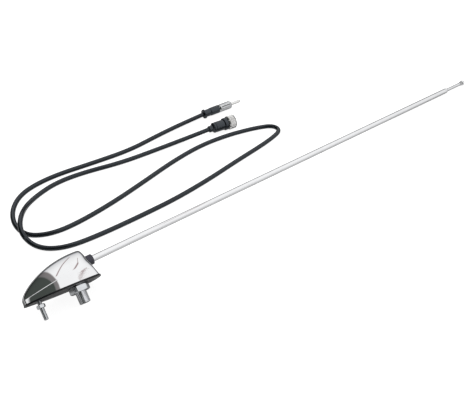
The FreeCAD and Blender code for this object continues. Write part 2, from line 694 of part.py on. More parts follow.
def coupling_pin():
    """The centre pin of the coupling."""
    r = COUPLING_PIN_DIAMETER / 2
    end = nut_start() + COUPLING_NUT_LENGTH - 1.0
    start = BARREL_SEAT + PIN_RECESS
    return lathe([(start, 0), (start, r), (end - 1, r), (end, r - 0.6), (end, 0)])


def plug_boot():
    """The boot of the radio plug: a collar at the cable, a waist and a fuller front half."""
    collar = PLUG_COLLAR_DIAMETER / 2
    rear = PLUG_BOOT_REAR_DIAMETER / 2
    front = PLUG_BOOT_DIAMETER / 2
    bore = PLUG_BARREL_DIAMETER / 2 - PLUG_BARREL_WALL
    half = PLUG_BOOT_LENGTH * 0.45
    return lathe([(0, 0), (0, collar - 0.6), (0.6, collar), (PLUG_COLLAR_LENGTH, collar),
                  (PLUG_COLLAR_LENGTH, rear), (half, rear + 0.3), (half + 0.8, front),
                  (PLUG_BOOT_LENGTH, front), (PLUG_BOOT_LENGTH, bore), (PLUG_SEAT, bore), (PLUG_SEAT, 0)])


def plug_barrel():
    """The sprung barrel of the radio plug: a tube with lengthwise slots and a domed end."""
    r = PLUG_BARREL_DIAMETER / 2
    end = PLUG_BOOT_LENGTH + PLUG_BARREL_LENGTH
    front = PLUG_BOOT_LENGTH
    wall = PLUG_BARREL_WALL
    mouth = PLUG_PIN_DIAMETER / 2 + 1.1
    barrel = lathe([(PLUG_SEAT, r - 2 * wall), (PLUG_SEAT, r - wall), (front, r - wall), (front, r),
                    (end - 2.0, r), (end - 0.7, r - 0.7), (end, mouth + 0.4), (end, mouth),
                    (end - wall, mouth), (end - 2.2, r - wall), (front + 1, r - wall),
                    (front + 1, r - 2 * wall)])
    slot = Part.makeBox(PLUG_SLOT_LENGTH, PLUG_SLOT_WIDTH, 2 * wall + 1,
                        V(front + 3.5, -PLUG_SLOT_WIDTH / 2, r - 2 * wall))
    for i in range(PLUG_SLOT_COUNT):
        turned = slot.copy()
        turned.rotate(V(0, 0, 0), V(1, 0, 0), 360 / PLUG_SLOT_COUNT * (i + 0.5))
        barrel = barrel.cut(turned)
    return barrel


def plug_insulator():
    """The plastic core that holds the plug's pin inside the barrel."""
    r = PLUG_BARREL_DIAMETER / 2 - 2 * PLUG_BARREL_WALL
    pin = PLUG_PIN_WAIST / 2
    end = PLUG_BOOT_LENGTH + PLUG_BARREL_LENGTH
    start = PLUG_SEAT + PIN_RECESS
    return lathe([(start, pin), (start, r), (PLUG_BOOT_LENGTH + 1, r), (PLUG_BOOT_LENGTH + 1, r - 1.0),
                  (end - PLUG_BARREL_WALL, r - 1.0), (end - PLUG_BARREL_WALL, pin)])


def plug_pin():
    """The centre pin of the radio plug, with a waist inside and a rounded tip."""
    waist = PLUG_PIN_WAIST / 2
    r = PLUG_PIN_DIAMETER / 2
    face = PLUG_BOOT_LENGTH + PLUG_BARREL_LENGTH - PLUG_BARREL_WALL
    end = face + PLUG_PIN_LENGTH
    return lathe([(PLUG_SEAT, 0), (PLUG_SEAT, waist), (face, waist), (face, r), (end - 1.4, r),
                  (end - 0.5, r * 0.75), (end, r * 0.3), (end, 0)])


def cord_tube(route, boots):
    """A round cable along straight runs joined by tangent arcs, cut to meet its boots."""
    points = [V(*p) for p in route]
    heading = (points[1] - points[0]).normalize()
    points[0] -= heading * CORD_SEAT
    points[-1] += (points[-1] - points[-2]).normalize() * CORD_SEAT
    edges = []
    radii = []
    last = points[0]
    for before, corner, after in zip(points, points[1:], points[2:]):
        into = (corner - before).normalize()
        away = (after - corner).normalize()
        half_turn = acos(max(-1, min(1, into.dot(away)))) / 2
        reach = 0.45 * min((corner - before).Length, (after - corner).Length)
        radii.append(reach / tan(half_turn))
        start = corner - into * reach
        end = corner + away * reach
        inward = (away - into).normalize()
        depth = radii[-1] * (1 / cos(half_turn) - 1)
        edges.append(Part.LineSegment(last, start).toShape())
        edges.append(Part.Arc(start, corner + inward * depth, end).toShape())
        last = end
    edges.append(Part.LineSegment(last, points[-1]).toShape())
    path = Part.Wire(edges)
    ring = Part.Wire([Part.makeCircle(CORD_DIAMETER / 2, points[0], heading)])
    tube = path.makePipeShell([ring], True, False)
    ideal = pi * CORD_DIAMETER ** 2 / 4 * path.Length
    print("cord radii", [round(r, 1) for r in radii])
    print("cord length", round(path.Length, 1), "volume share", round(tube.Volume / ideal, 4))
    for boot in boots:
        tube = tube.cut(boot)
    return tube


ANTENNA = {
    "base_housing": base_housing,
    "gasket": gasket,
    "mounting_stub": mounting_stub,
    "stub_insulator": stub_insulator,
    "stub_contact": stub_contact,
    "stub_nut": stub_nut,
    "front_stud": front_stud,
    "front_nut": front_nut,
    "mast_collar": mast_collar,
    "mast_foot": mast_foot,
    "feed_strip": feed_strip,
    "mast_outer_tube": mast_outer_tube,
    "mast_middle_tube": mast_middle_tube,
    "middle_foot": middle_foot,
    "mast_tip_rod": mast_tip_rod,
    "tip_foot": tip_foot,
    "mast_tip_ball": mast_tip_ball,
}

COUPLING = {
    "coupling_boot": coupling_boot,
    "coupling_body": coupling_body,
    "coupling_nut": coupling_nut,
    "coupling_insulator": coupling_insulator,
    "coupling_pin": coupling_pin,
}

PLUG = {
    "plug_boot": plug_boot,
    "plug_barrel": plug_barrel,
    "plug_insulator": plug_insulator,
    "plug_pin": plug_pin,
}


def build():
    """All pieces by node name, laid on the floor with the origin under the antenna's middle."""
    rest = lay_down()
    antenna = {name: laid(make(), rest) for name, make in ANTENNA.items()}
    boxes = [shape.optimalBoundingBox(True, False) for shape in antenna.values()]
    low_x = min(box.XMin for box in boxes)
    high_x = max(box.XMax for box in boxes)
    low_y = min(box.YMin for box in boxes)
    high_y = max(box.YMax for box in boxes)
    centre = FreeCAD.Placement(V(-(low_x + high_x) / 2, -(low_y + high_y) / 2, 0), FreeCAD.Rotation())
    print("antenna", round(high_x - low_x, 2), "long", round(high_y - low_y, 2), "wide", centre.Base)
    pieces = {name: laid(shape, centre) for name, shape in antenna.items()}
    for name, make in COUPLING.items():
        pieces[name] = along_x(make(), CORD_ROUTE[0], COUPLING_AZIMUTH)
    for name, make in PLUG.items():
        pieces[name] = along_x(make(), CORD_ROUTE[-1], PLUG_AZIMUTH)
    pieces["lead_cable"] = cord_tube(CORD_ROUTE, [pieces["coupling_boot"], pieces["plug_boot"]])
    return {name: single(shape) for name, shape in pieces.items()}


def laid(shape, placement):
    """A copy of a shape moved by a placement."""
    placed = shape.copy()
    placed.Placement = placement.multiply(placed.Placement)
    return placed


def single(shape):
    """The one solid that a boolean result holds."""
    return shape.Solids[0] if len(shape.Solids) == 1 else shape


def main():
    os.makedirs("parts", exist_ok=True)
    for name, shape in build().items():
        shape.exportStep("parts/" + name + ".step")


main()
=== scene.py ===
import json
from math import atan2, cos, pi, radians, sin, tan

import bmesh
import bpy
import numpy as np
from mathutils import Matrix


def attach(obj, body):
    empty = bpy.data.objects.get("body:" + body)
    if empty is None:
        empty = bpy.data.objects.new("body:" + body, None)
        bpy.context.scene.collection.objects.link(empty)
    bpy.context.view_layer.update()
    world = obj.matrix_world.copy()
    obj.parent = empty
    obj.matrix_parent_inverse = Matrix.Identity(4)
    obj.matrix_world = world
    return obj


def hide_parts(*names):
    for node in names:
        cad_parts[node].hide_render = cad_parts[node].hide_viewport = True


# A chrome fender antenna lying on its side beside its coaxial lead, which lies in loose loops.
# Shapes are worked out in millimetres, each in its own simple frame, and are then placed
# in metres: the panel frame has the mounting stub's axis as x = y = 0 and the gasket's
# underside as z = 0; the mast frame has x along the mast; each connector's frame has x
# along the connector, from its boot's rear end.

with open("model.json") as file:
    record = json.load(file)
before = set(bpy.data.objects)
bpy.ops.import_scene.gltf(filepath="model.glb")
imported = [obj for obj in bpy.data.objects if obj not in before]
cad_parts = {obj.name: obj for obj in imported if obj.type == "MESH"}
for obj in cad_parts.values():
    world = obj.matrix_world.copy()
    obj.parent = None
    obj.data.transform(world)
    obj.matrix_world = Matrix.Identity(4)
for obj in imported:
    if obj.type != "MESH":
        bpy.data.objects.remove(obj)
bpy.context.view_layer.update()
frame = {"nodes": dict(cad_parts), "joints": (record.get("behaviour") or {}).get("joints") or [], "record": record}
RECORD = frame["record"]
MM = 0.001

# Base housing
NOSE_X = -49.0
NOSE_HALF_WIDTH = 5.5
NOSE_HEIGHT = 6.6
NOSE_FULLNESS = 0.9
WIDEST_X = -8.0
WIDEST_HALF_WIDTH = 17.2
TAIL_X = 19.0
TAIL_HALF_WIDTH = 14.5
TAIL_RADIUS = 36.0
TAIL_LEAN = radians(16.0)
RIDGE_TOP_X = 9.0
RIDGE_TOP_HEIGHT = 29.6
RIDGE_FULLNESS = 0.74
CREASE_NOSE_HEIGHT = 5.2
CREASE_RISE = 0.143
SKIRT_DRAFT = 0.5
SHOULDER_SHARE = 0.36
SHOULDER_HEIGHT_SHARE = 0.88
LEAST_RISE = 0.6
FLANK_BULGE = 0.075
CREASE_SHARE = 0.05
NOSE_EDGE = 1.3
NOSE_MIDDLE = 4.1
TAIL_EDGE = 2.6
TAIL_FLANK_EDGE = 8.0
TAIL_FLANK_FOOT = 6.0
TAIL_FLANK_TOP = 30.0
TAIL_MIDDLE = 14.0
TAIL_FACE_SHARE = 0.6
SKIRT_LINES = 5
CREASE_LINES = 8
FLANK_LINES = 24
TOP_LINES = 12
SKIN_ROWS = 64
SKIN_CROWDING = 1.25
END_ROWS = 8
NOSE_ROUND_ROWS = 8
TAIL_ROUND_ROWS = 10
TAIL_TRIES = 12

# Gasket
GASKET_THICKNESS = 1.6
GASKET_LEDGE = 0.9
GASKET_NOSE_LEDGE = 0.0
GASKET_REAR_LEDGE = 2.9
TAIL_ROUNDING = 3.0
GASKET_INSET = -4.0
GASKET_POINTS = 40
GASKET_NOSE_POINTS = 9
FOOT_CROWDING = 1.2
# Its profile from the underside's inset ring round the edge to the top's, as the share of
# the way in to that ring, and the height
GASKET_PROFILE = [(1.0, 0.0), (0.12, 0.0), (0.05, 0.04), (0.012, 0.14), (0.0, 0.35), (0.0, 1.1),
                  (0.012, 1.42), (0.05, 1.55), (0.12, GASKET_THICKNESS), (1.0, GASKET_THICKNESS)]

# Stub, stud and nuts
STUB_RADIUS = 5.0
STUB_FIXING_RADIUS = 6.0
STUB_BORE = 3.2
STUB_REACH = 16.6
STUB_SLOT_WIDTH = 1.6
STUB_SLOT_DEPTH = 1.8
STUB_PITCH = 1.0
STUB_THREAD_DEPTH = 0.35
STUB_SIDES = 96
STUB_BORE_ROWS = 12
STUB_TOP = 1.0
STUB_END_INSET = 0.75
STUB_STEP_INSET = 0.5
IN_NUT = 0.02
END_CHAMFER = 0.3
STUB_STEP_ROUND = 0.2
COLUMN_SHIFT = 0.01
SLOT_WALL = 2e-4
FINE_ROWS = 10
COARSE_ROWS = 6
THREAD_STEEPNESS = 2.4
THREAD_CUT = 1.3
THREAD_END = 0.15
STUB_NUT_FLATS = 17.0
STUB_NUT_HEIGHT = 6.2
STUD_X = -36.6
STUD_RADIUS = 2.0
STUD_REACH = 17.2
STUD_PITCH = 0.7
STUD_THREAD_DEPTH = 0.3
STUD_SIDES = 40
STUD_POINT = 0.6
STUD_POINT_INSET = 0.7
STUD_TOP = 1.0
STUD_NUT_FLATS = 7.0
STUD_NUT_HEIGHT = 3.2
STUD_NUT_DROP = 2.9
STUB_NUT_BITE = 0.1
STUD_NUT_BITE = 0.05
NUT_SIDES = 192
NUT_CORNER_TURN = radians(27.0)
NUT_CONE = radians(30.0)
NUT_FACE_INSET = 0.3
NUT_CONE_HEIGHT = 1.2
NUT_CONE_ROWS = 8
NUT_FIRST_RISE = 0.06
NUT_COUNTERSINK = 0.6
NUT_FACE_RING = 0.8

# Mast
MAST_RISE = 16.2
MAST_PITCH = radians(3.9)
COLLAR_RADIUS = 4.9
COLLAR_START = 12.0
COLLAR_END = 21.8
OUTER_RADIUS = 3.0
OUTER_START = 9.0
OUTER_END = 530.0
MIDDLE_RADIUS = 2.45
SLIDE_CLEARANCE = 0.05
MIDDLE_START = 70.0
MIDDLE_END = 530.5
ROD_RADIUS = 1.8
ROD_START = 105.0
ROD_END = 560.0
BALL_RADIUS = 3.0
BALL_CENTRE = 562.4
BALL_FROM = radians(150.0)
BALL_ROWS = 22

# Connectors, as profiles of (x, radius)
COUPLING_GRIP = [(0, 0), (0, 3.3), (0.6, 3.8), (4.6, 3.8), (5.4, 5.0), (6.4, 6.0), (8.0, 6.0), (8.4, 5.75),
                 (8.9, 5.75), (9.3, 6.0), (20.0, 6.0), (20.0, 0)]
COUPLING_FLANGE = [(19.8, 3.4), (19.8, 6.7), (20.4, 7.2), (24.1, 7.2), (24.6, 6.7), (24.6, 4.6),
                   (26.8, 4.6), (26.8, 5.5), (28.0, 5.5), (28.0, 3.4), (19.8, 3.4)]
COUPLING_CORE = [(20.0, 0), (20.0, 3.35), (28.0, 3.35), (28.0, 0)]
COUPLING_PIN = [(20.0, 0), (20.0, 1.2), (32.6, 1.2), (33.5, 0.5), (33.5, 0)]
RING_REAR = [(24.9, 4.7), (24.9, 7.0), (25.2, 7.45), (25.7, 7.6)]
RING_MOUTH = [(33.9, 7.6), (34.3, 7.4), (34.5, 6.9), (34.5, 5.7)]
RING_INSIDE = [(28.3, 5.8), (26.5, 5.8), (26.5, 4.7)]
RING_MIDDLE = 29.7
RING_SIDES = 288
KNURL_BAND = (26.2, 33.4)
KNURL_ROWS = 60
KNURL_RADIUS = 8.0
KNURL_DEPTH = 0.35
KNURL_COUNT = 48
KNURL_LEAN = 3 / 9.0
KNURL_FADE = 0.3
KNURL_STEEPNESS = 1.6
KNURL_CUT = 0.6
RING_THREAD = (28.6, 34.2)
RING_THREAD_FADE = (28.4, 34.4)
RING_THREAD_ROWS = 45
RING_THREAD_RADIUS = 5.45
RING_THREAD_PITCH = 1.0
RING_THREAD_DEPTH = 0.45
PLUG_GRIP = [(0, 0), (0, 4.9), (0.6, 5.5), (2.4, 5.5), (2.6, 4.2), (9.2, 4.45), (10.2, 4.8), (20.9, 4.8),
             (21.5, 4.55), (21.5, 0)]
PLUG_CORE = [(21.4, 0), (21.4, 2.4), (38.9, 2.4), (38.9, 0)]
PLUG_PIN = [(38.0, 0), (38.0, 1.6), (52.2, 1.6), (53.2, 1.2), (53.9, 0.6), (53.9, 0)]
BARREL_RADIUS = 4.6
BARREL_START = 21.0
BARREL_MIDDLE = 29.5
BARREL_SLOT = (25.0, 37.0)
BARREL_SLOT_INNER = (25.4, 36.6)
BARREL_SLOT_ROWS = 20
BARREL_SLOT_HALF = 0.5 / BARREL_RADIUS
BARREL_SLOT_AT = radians(45.0)
BARREL_NOSE = [(37.6, BARREL_RADIUS), (38.9, 3.9), (39.5, 3.0), (39.5, 2.75)]
BARREL_SIDES = 96
BARREL_COLUMN_SHIFT = 0.004
BARREL_WALL = 0.6

# Lead
CABLE_RADIUS = 2.5
COUPLING_HEIGHT = 8.0
PLUG_HEIGHT = 5.5
ON_FLOOR = 2.5
OVER_CROSSING = 13.0

# Studio: what metal sees to each side (by the ray's x), through a slit and at the camera's
# back (both by the ray's y) and by height (the ray's z), and the tent's seams as start, end
# and half width on the ceiling; the floor's share of white; lamps as place, size and power
TENT_SIDES = [(-1.0, (0.05, 0.055, 0.05)), (-0.13, (0.065, 0.075, 0.068)), (-0.105, (0.21, 0.20, 0.20)),
              (-0.03, (0.24, 0.22, 0.22)), (-0.005, (1.0, 1.0, 1.0))]
TENT_SLIT = [(-0.17, (0.0, 0.0, 0.0)), (-0.13, (0.9, 0.9, 0.9)), (0.0, (0.9, 0.9, 0.9)),
             (0.04, (0.0, 0.0, 0.0))]
TENT_HEIGHTS = [(0.0, (0.03, 0.032, 0.036)), (0.17, (0.07, 0.072, 0.078)), (0.28, (0.50, 0.51, 0.53)),
                (0.40, (0.80, 0.80, 0.81)), (0.60, (0.93, 0.93, 0.93)), (0.8, (1.0, 1.0, 1.0))]
TENT_BACK = [(-0.25, (0.85, 0.85, 0.86)), (0.05, (0.0, 0.0, 0.0))]
TENT_SEAMS = [(0.03, 0.36, 0.70, 1.93, 0.035), (0.37, 0.09, 0.64, 0.91, 0.035),
              (0.50, -0.53, 0.80, -0.53, 0.006)]
SEAM_COLOUR = (0.30, 0.20, 0.20, 1.0)
DULL_LIGHT = (0.30, 0.30, 0.30, 1.0)
FLOOR_GREY = 0.42
FLOOR_LIFT = 0.91
FLOOR_LIFT_IN_METAL = 0.25
LAMPS = [("key", (-0.15, 0.05, 1.4), 0.35, 9.5), ("fill", (0.7, -0.6, 1.1), 1.0, 2.0)]
WHITE = (1.0, 1.0, 1.0, 1.0)
FLOOR_HALF = 4.0
CAMERA_PLACE = (-0.4268, -0.4354, 0.4828)
CAMERA_TURN = (radians(50.0), 0.0, radians(-39.09))
CAMERA_LENS = 54.645
CAMERA_SENSOR = 36.0

# The lead's route over the floor, from the coupling to the plug, in millimetres
CORD_ROUTE = [
    (-16.0, 123.5, COUPLING_HEIGHT),
    (-39.4, 127.0, 6.4),
    (-80.0, 135.2, ON_FLOOR),
    (-123.9, 139.5, ON_FLOOR),
    (-167.3, 150.5, ON_FLOOR),
    (-197.8, 153.0, ON_FLOOR),
    (-221.5, 147.3, ON_FLOOR),
    (-240.3, 135.9, 5.3),
    (-254.8, 116.1, OVER_CROSSING),
    (-263.4, 101.3, OVER_CROSSING),
    (-266.0, 88.5, 10.0),
    (-261.5, 77.1, 3.8),
    (-251.6, 65.4, ON_FLOOR),
    (-234.0, 56.5, ON_FLOOR),
    (-202.6, 52.7, ON_FLOOR),
    (-157.8, 51.1, ON_FLOOR),
    (-112.4, 51.0, ON_FLOOR),
    (-66.8, 55.3, ON_FLOOR),
    (-21.9, 62.0, ON_FLOOR),
    (16.4, 66.7, ON_FLOOR),
    (36.2, 70.5, ON_FLOOR),
    (50.7, 74.9, ON_FLOOR),
    (54.2, 82.7, ON_FLOOR),
    (50.0, 90.3, ON_FLOOR),
    (38.7, 95.7, ON_FLOOR),
    (22.2, 101.3, ON_FLOOR),
    (-2.8, 107.1, ON_FLOOR),
    (-37.8, 110.4, ON_FLOOR),
    (-79.6, 105.5, ON_FLOOR),
    (-124.2, 95.6, ON_FLOOR),
    (-169.2, 86.6, ON_FLOOR),
    (-210.8, 81.9, ON_FLOOR),
    (-236.6, 83.2, ON_FLOOR),
    (-254.2, 91.4, ON_FLOOR),
    (-261.9, 103.1, ON_FLOOR),
    (-262.3, 121.4, ON_FLOOR),
    (-254.7, 140.5, ON_FLOOR),
    (-240.7, 155.6, ON_FLOOR),
    (-222.3, 163.4, ON_FLOOR),
    (-192.4, 165.4, ON_FLOOR),
    (-147.8, 158.7, ON_FLOOR),
    (-104.3, 153.7, ON_FLOOR),
    (-65.0, 157.6, ON_FLOOR),
    (-30.3, 157.3, 4.3),
    (0.7, 156.0, PLUG_HEIGHT),
]


def unit(v):
    """A vector divided by its own length."""
    v = np.asarray(v, float)
    return v / np.linalg.norm(v)


def mount(name):
    """One of the record's mounts."""
    return next(m for m in RECORD["mounts"] if m["name"] == name)


def joint(name):
    """One of the record's joints."""
    return next(j for j in frame["joints"] if j["name"] == name)


def along_axis(point, axis, at):
    """The frame of a connector: x along its level axis, with point at x = at millimetres."""
    ex = unit(axis)
    ez = np.array([0.0, 0.0, 1.0])
    return np.asarray(point) - ex * at * MM, np.array([ex, np.cross(ez, ex), ez])


def panel_frame():
    """Origin and axes of the panel frame, from the stub's mount and the mast's slide."""
    stub = mount("stub_thread")
    ez = -unit(stub["axis"])
    mast = unit(joint("middle_slide")["axis"])
    ex = unit(mast - ez * np.dot(mast, ez))
    middle = (STUB_NUT_HEIGHT + STUB_REACH) / 2
    return np.asarray(stub["pos_m"]) + ez * middle * MM, np.array([ex, np.cross(ez, ex), ez])


def mast_frame(panel):
    """The mast's frame: its x axis is the panel's x axis pitched up, its foot over the stub."""
    origin, axes = panel
    c, s = cos(MAST_PITCH), sin(MAST_PITCH)
    turned = np.array([[c, 0, s], [0, 1, 0], [-s, 0, c]]) @ axes
    return origin + axes[2] * MAST_RISE * MM, turned


PANEL = panel_frame()
MAST = mast_frame(PANEL)
COUPLING = along_axis(joint("coupling_spin")["pos_m"], joint("coupling_spin")["axis"], RING_MIDDLE)
PLUG = along_axis(mount("plug_barrel")["pos_m"], mount("plug_barrel")["axis"], BARREL_MIDDLE)


def placed(points, place):
    """Millimetre points of a local frame as metre points of the row."""
    origin, axes = place
    return origin + (np.asarray(points) * MM) @ axes


def grid_faces(rows, columns, close_rows, close_columns):
    """Quads of a grid of rows by columns, wrapped round in either direction if asked."""
    i, j = np.meshgrid(np.arange(rows if close_rows else rows - 1),
                       np.arange(columns if close_columns else columns - 1), indexing="ij")
    i2, j2 = (i + 1) % rows, (j + 1) % columns
    corners = [i * columns + j, i2 * columns + j, i2 * columns + j2, i * columns + j2]
    return np.stack(corners, axis=-1).reshape(-1, 4)


def mesh_piece(name, points, faces, body, material, sharp=35.0):
    """A named mesh in metres, welded, facing outwards, smooth but for edges past sharp degrees."""
    mesh = bpy.data.meshes.new(name)
    mesh.from_pydata(np.asarray(points).reshape(-1, 3), [], faces)
    bm = bmesh.new()
    bm.from_mesh(mesh)
    bmesh.ops.remove_doubles(bm, verts=bm.verts, dist=1e-6)
    bmesh.ops.recalc_face_normals(bm, faces=bm.faces)
    bm.to_mesh(mesh)
    bm.free()
    mesh.shade_smooth()
    mesh.set_sharp_from_angle(angle=radians(sharp))
    mesh.materials.append(material)
    piece = bpy.data.objects.new(name, mesh)
    bpy.context.scene.collection.objects.link(piece)
    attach(piece, body)
    return piece


def eased(profile, radius, steps=5):
    """An open profile with each inner corner replaced by a parabola that starts and ends
    radius away from the corner, or 0.45 of the shorter side where that is less."""
    p = np.asarray(profile, float)
    corner, before, after = p[1:-1], p[:-2], p[2:]
    to_before, to_after = before - corner, after - corner
    side_before = np.linalg.norm(to_before, axis=1, keepdims=True)
    side_after = np.linalg.norm(to_after, axis=1, keepdims=True)
    cut = np.minimum(radius, 0.45 * np.minimum(side_before, side_after))
    start = corner + to_before / side_before * cut
    end = corner + to_after / side_after * cut
    t = np.linspace(0, 1, steps)[None, :, None]
    curve = (1 - t) ** 2 * start[:, None] + 2 * t * (1 - t) * corner[:, None] + t ** 2 * end[:, None]
    return np.vstack([p[:1], curve.reshape(-1, 2), p[-1:]])


def turned_piece(name, profile, place, body, material, ease=0.25, sides=72, sharp=35.0):
    """A lathe shape: each (x, r) of the eased profile goes to (x, r cos a, r sin a) for all a."""
    p = eased(profile, ease)
    a = np.linspace(0, 2 * pi, sides, endpoint=False)
    x = np.repeat(p[:, :1], sides, axis=1)
    points = np.stack([x, p[:, 1:] * np.cos(a), p[:, 1:] * np.sin(a)], axis=-1)
    faces = grid_faces(len(p), sides, False, True)
    return mesh_piece(name, placed(points, place), faces, body, material, sharp)


def triangle_wave(t):
    """A wave of height 1 that falls and rises in straight lines once per unit of t."""
    return np.abs(2 * (t - np.floor(t)) - 1)


def half_width(x):
    """The housing's half width at its foot: 5.5 at the nose, up a quarter sine to 17.2, then
    down a parabola to 14.5 at the tail."""
    fore = np.clip((x - NOSE_X) / (WIDEST_X - NOSE_X), 0, 1)
    aft = np.clip((x - WIDEST_X) / (TAIL_X - WIDEST_X), 0, 2)
    swell = np.sin(pi / 2 * fore ** NOSE_FULLNESS)
    front = NOSE_HALF_WIDTH + (WIDEST_HALF_WIDTH - NOSE_HALF_WIDTH) * swell
    return front - (WIDEST_HALF_WIDTH - TAIL_HALF_WIDTH) * aft ** 2


def ridge_height(x):
    """The ridge over the panel: from the nose's height up a quarter sine to the top."""
    share = np.clip((x - NOSE_X) / (RIDGE_TOP_X - NOSE_X), 0, 1)
    return NOSE_HEIGHT + (RIDGE_TOP_HEIGHT - NOSE_HEIGHT) * np.sin(pi / 2 * share ** RIDGE_FULLNESS)


def arc_through(a, b, c, shares):
    """Points on the circles through three arrays of plane points a, b, c, at shares of the
    angle from a to c."""
    ab, ac = b - a, c - a
    cross = 2 * (ab[..., 0] * ac[..., 1] - ab[..., 1] * ac[..., 0])
    ab2, ac2 = (ab ** 2).sum(-1), (ac ** 2).sum(-1)
    shift = np.stack([ac[..., 1] * ab2 - ab[..., 1] * ac2, ab[..., 0] * ac2 - ac[..., 0] * ab2], axis=-1)
    centre = a + shift / cross[..., None]
    start = np.arctan2(a[..., 1] - centre[..., 1], a[..., 0] - centre[..., 0])
    end = np.arctan2(c[..., 1] - centre[..., 1], c[..., 0] - centre[..., 0])
    turn = (end - start + pi) % (2 * pi) - pi
    angle = start[..., None] + turn[..., None] * shares
    radius = np.linalg.norm(a - centre, axis=-1)[..., None]
    return centre[..., None, :] + radius[..., None] * np.stack([np.cos(angle), np.sin(angle)], axis=-1)


def rounded_corner(start, corner, end, steps):
    """Rows of a parabola from start to end whose tangents there meet in the corner."""
    t = np.linspace(0, 1, steps).reshape((-1,) + (1,) * start.ndim)
    return (1 - t) ** 2 * start + 2 * t * (1 - t) * corner + t ** 2 * end


def section_line(x):
    """Half of the housing's cross-section at each x, from the foot to the ridge, as (y, z):
    a drafted skirt, a rounded crease, an arc up the flank, and half of the arc over the top."""
    w = half_width(x)
    crease = CREASE_NOSE_HEIGHT + CREASE_RISE * (x - NOSE_X)
    top = np.maximum(ridge_height(x), crease + LEAST_RISE)
    wc, ws = w - SKIRT_DRAFT, SHOULDER_SHARE * w
    zs = crease + (top - crease) * SHOULDER_HEIGHT_SHARE
    run = np.hypot(wc - ws, zs - crease)
    bulge = FLANK_BULGE * run
    foot = np.stack([w, np.full_like(x, GASKET_THICKNESS)], axis=-1)
    low = np.stack([wc, crease], axis=-1)
    high = np.stack([ws, zs], axis=-1)
    mid = (low + high) / 2 + np.stack([bulge * (zs - crease) / run, bulge * (wc - ws) / run], axis=-1)
    peak = np.stack([np.zeros_like(x), top], axis=-1)
    far = high * np.array([-1.0, 1.0])
    flank = arc_through(low, mid, high, np.linspace(CREASE_SHARE, 1, FLANK_LINES))
    reach = np.linalg.norm(flank[:, 0] - low, axis=-1, keepdims=True)
    skirt_top = low - (low - foot) / np.linalg.norm(low - foot, axis=-1, keepdims=True) * reach
    skirt = foot[:, None] + (skirt_top - foot)[:, None] * np.linspace(0, 1, SKIRT_LINES)[None, :-1, None]
    fold = np.moveaxis(rounded_corner(skirt_top, low, flank[:, 0], CREASE_LINES), 0, 1)
    over = arc_through(high, peak, far, np.linspace(0, 0.5, TOP_LINES))
    return np.concatenate([skirt, fold, flank[:, 1:], over[:, 1:]], axis=1)


def skin_at(x):
    """The housing's skin at rows of x, one x for each line that runs along it."""
    column = np.arange(x.shape[1])
    lines = section_line(x.reshape(-1)).reshape(x.shape + (x.shape[1], 2))
    return np.concatenate([x[..., None], lines[:, column, column]], axis=-1)


def tail_limit(y, z):
    """The x at which a line along the housing meets the leaning round tail surface."""
    c, s = cos(TAIL_LEAN), sin(TAIL_LEAN)
    depth = np.sqrt(TAIL_RADIUS ** 2 - y ** 2)
    return TAIL_X - TAIL_RADIUS + depth / c - (z - GASKET_THICKNESS) * s / c


def drawn_in(rim, top, distances):
    """Rows of (y, z) points that go from a rim towards the face's middle line, level up to
    the height top and then towards that height. They go the given distances in
    millimetres, and stop on the middle line."""
    hub = np.stack([np.zeros(len(rim)), np.minimum(rim[:, 1], top)], axis=-1)
    whole = np.linalg.norm(hub - rim, axis=-1)
    share = np.minimum(distances / whole[None], 1.0)
    return rim[None] + (hub - rim)[None] * share[..., None]


def housing_grid():
    """The whole housing as rows from the nose's middle over its rounded rim, along the skin,
    over the tail's rounded rim and in to the tail's middle; columns run round the section."""
    lines = SKIRT_LINES - 1 + CREASE_LINES + FLANK_LINES - 1 + TOP_LINES - 1
    start = np.full((1, lines), NOSE_X)
    end = np.full((1, lines), TAIL_X)
    for _ in range(TAIL_TRIES):
        tip = skin_at(end)
        end = tail_limit(tip[..., 1], tip[..., 2])
    nose_rim, tail_rim = skin_at(start)[0], skin_at(end)[0]
    climb = (tail_rim[:, 2] - TAIL_FLANK_FOOT) / (TAIL_FLANK_TOP - TAIL_FLANK_FOOT)
    tail_edge = TAIL_EDGE + (TAIL_FLANK_EDGE - TAIL_EDGE) * np.sin(pi * np.clip(climb, 0, 1)) ** 2
    share = np.linspace(0, 1, SKIN_ROWS)[:, None] ** SKIN_CROWDING
    skin = skin_at(start + NOSE_EDGE + (end - tail_edge - start - NOSE_EDGE) * share)
    steps = np.linspace(0, 1, END_ROWS)[:, None]

    whole = np.linalg.norm(nose_rim[:, 1:], axis=-1)[None]
    nose = drawn_in(nose_rim[:, 1:], NOSE_MIDDLE, NOSE_EDGE + whole * steps)
    nose = np.concatenate([np.full(nose.shape[:2] + (1,), NOSE_X), nose], axis=-1)[::-1]
    whole = np.linalg.norm(tail_rim[:, 1:], axis=-1)[None]
    tail = drawn_in(tail_rim[:, 1:], TAIL_MIDDLE, tail_edge * TAIL_FACE_SHARE + whole * steps)
    tail = np.concatenate([tail_limit(tail[..., 0], tail[..., 1])[..., None], tail], axis=-1)

    nose_round = rounded_corner(nose[-1], nose_rim, skin[0], NOSE_ROUND_ROWS)
    tail_round = rounded_corner(skin[-1], tail_rim, tail[0], TAIL_ROUND_ROWS)
    right = np.concatenate([nose, nose_round[1:-1], skin, tail_round[1:-1], tail])
    left = (right * np.array([1.0, -1.0, 1.0]))[:, -2::-1]
    return np.concatenate([right, left], axis=1)


def build_housing(material):
    """The cast housing, closed by a flat foot between its two lowest lines."""
    points = housing_grid()
    faces = grid_faces(points.shape[0], points.shape[1], False, True)
    piece = mesh_piece("housing_casting", placed(points, PANEL), faces, "base",
                       material, 40.0)
    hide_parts("base_housing")
    return piece


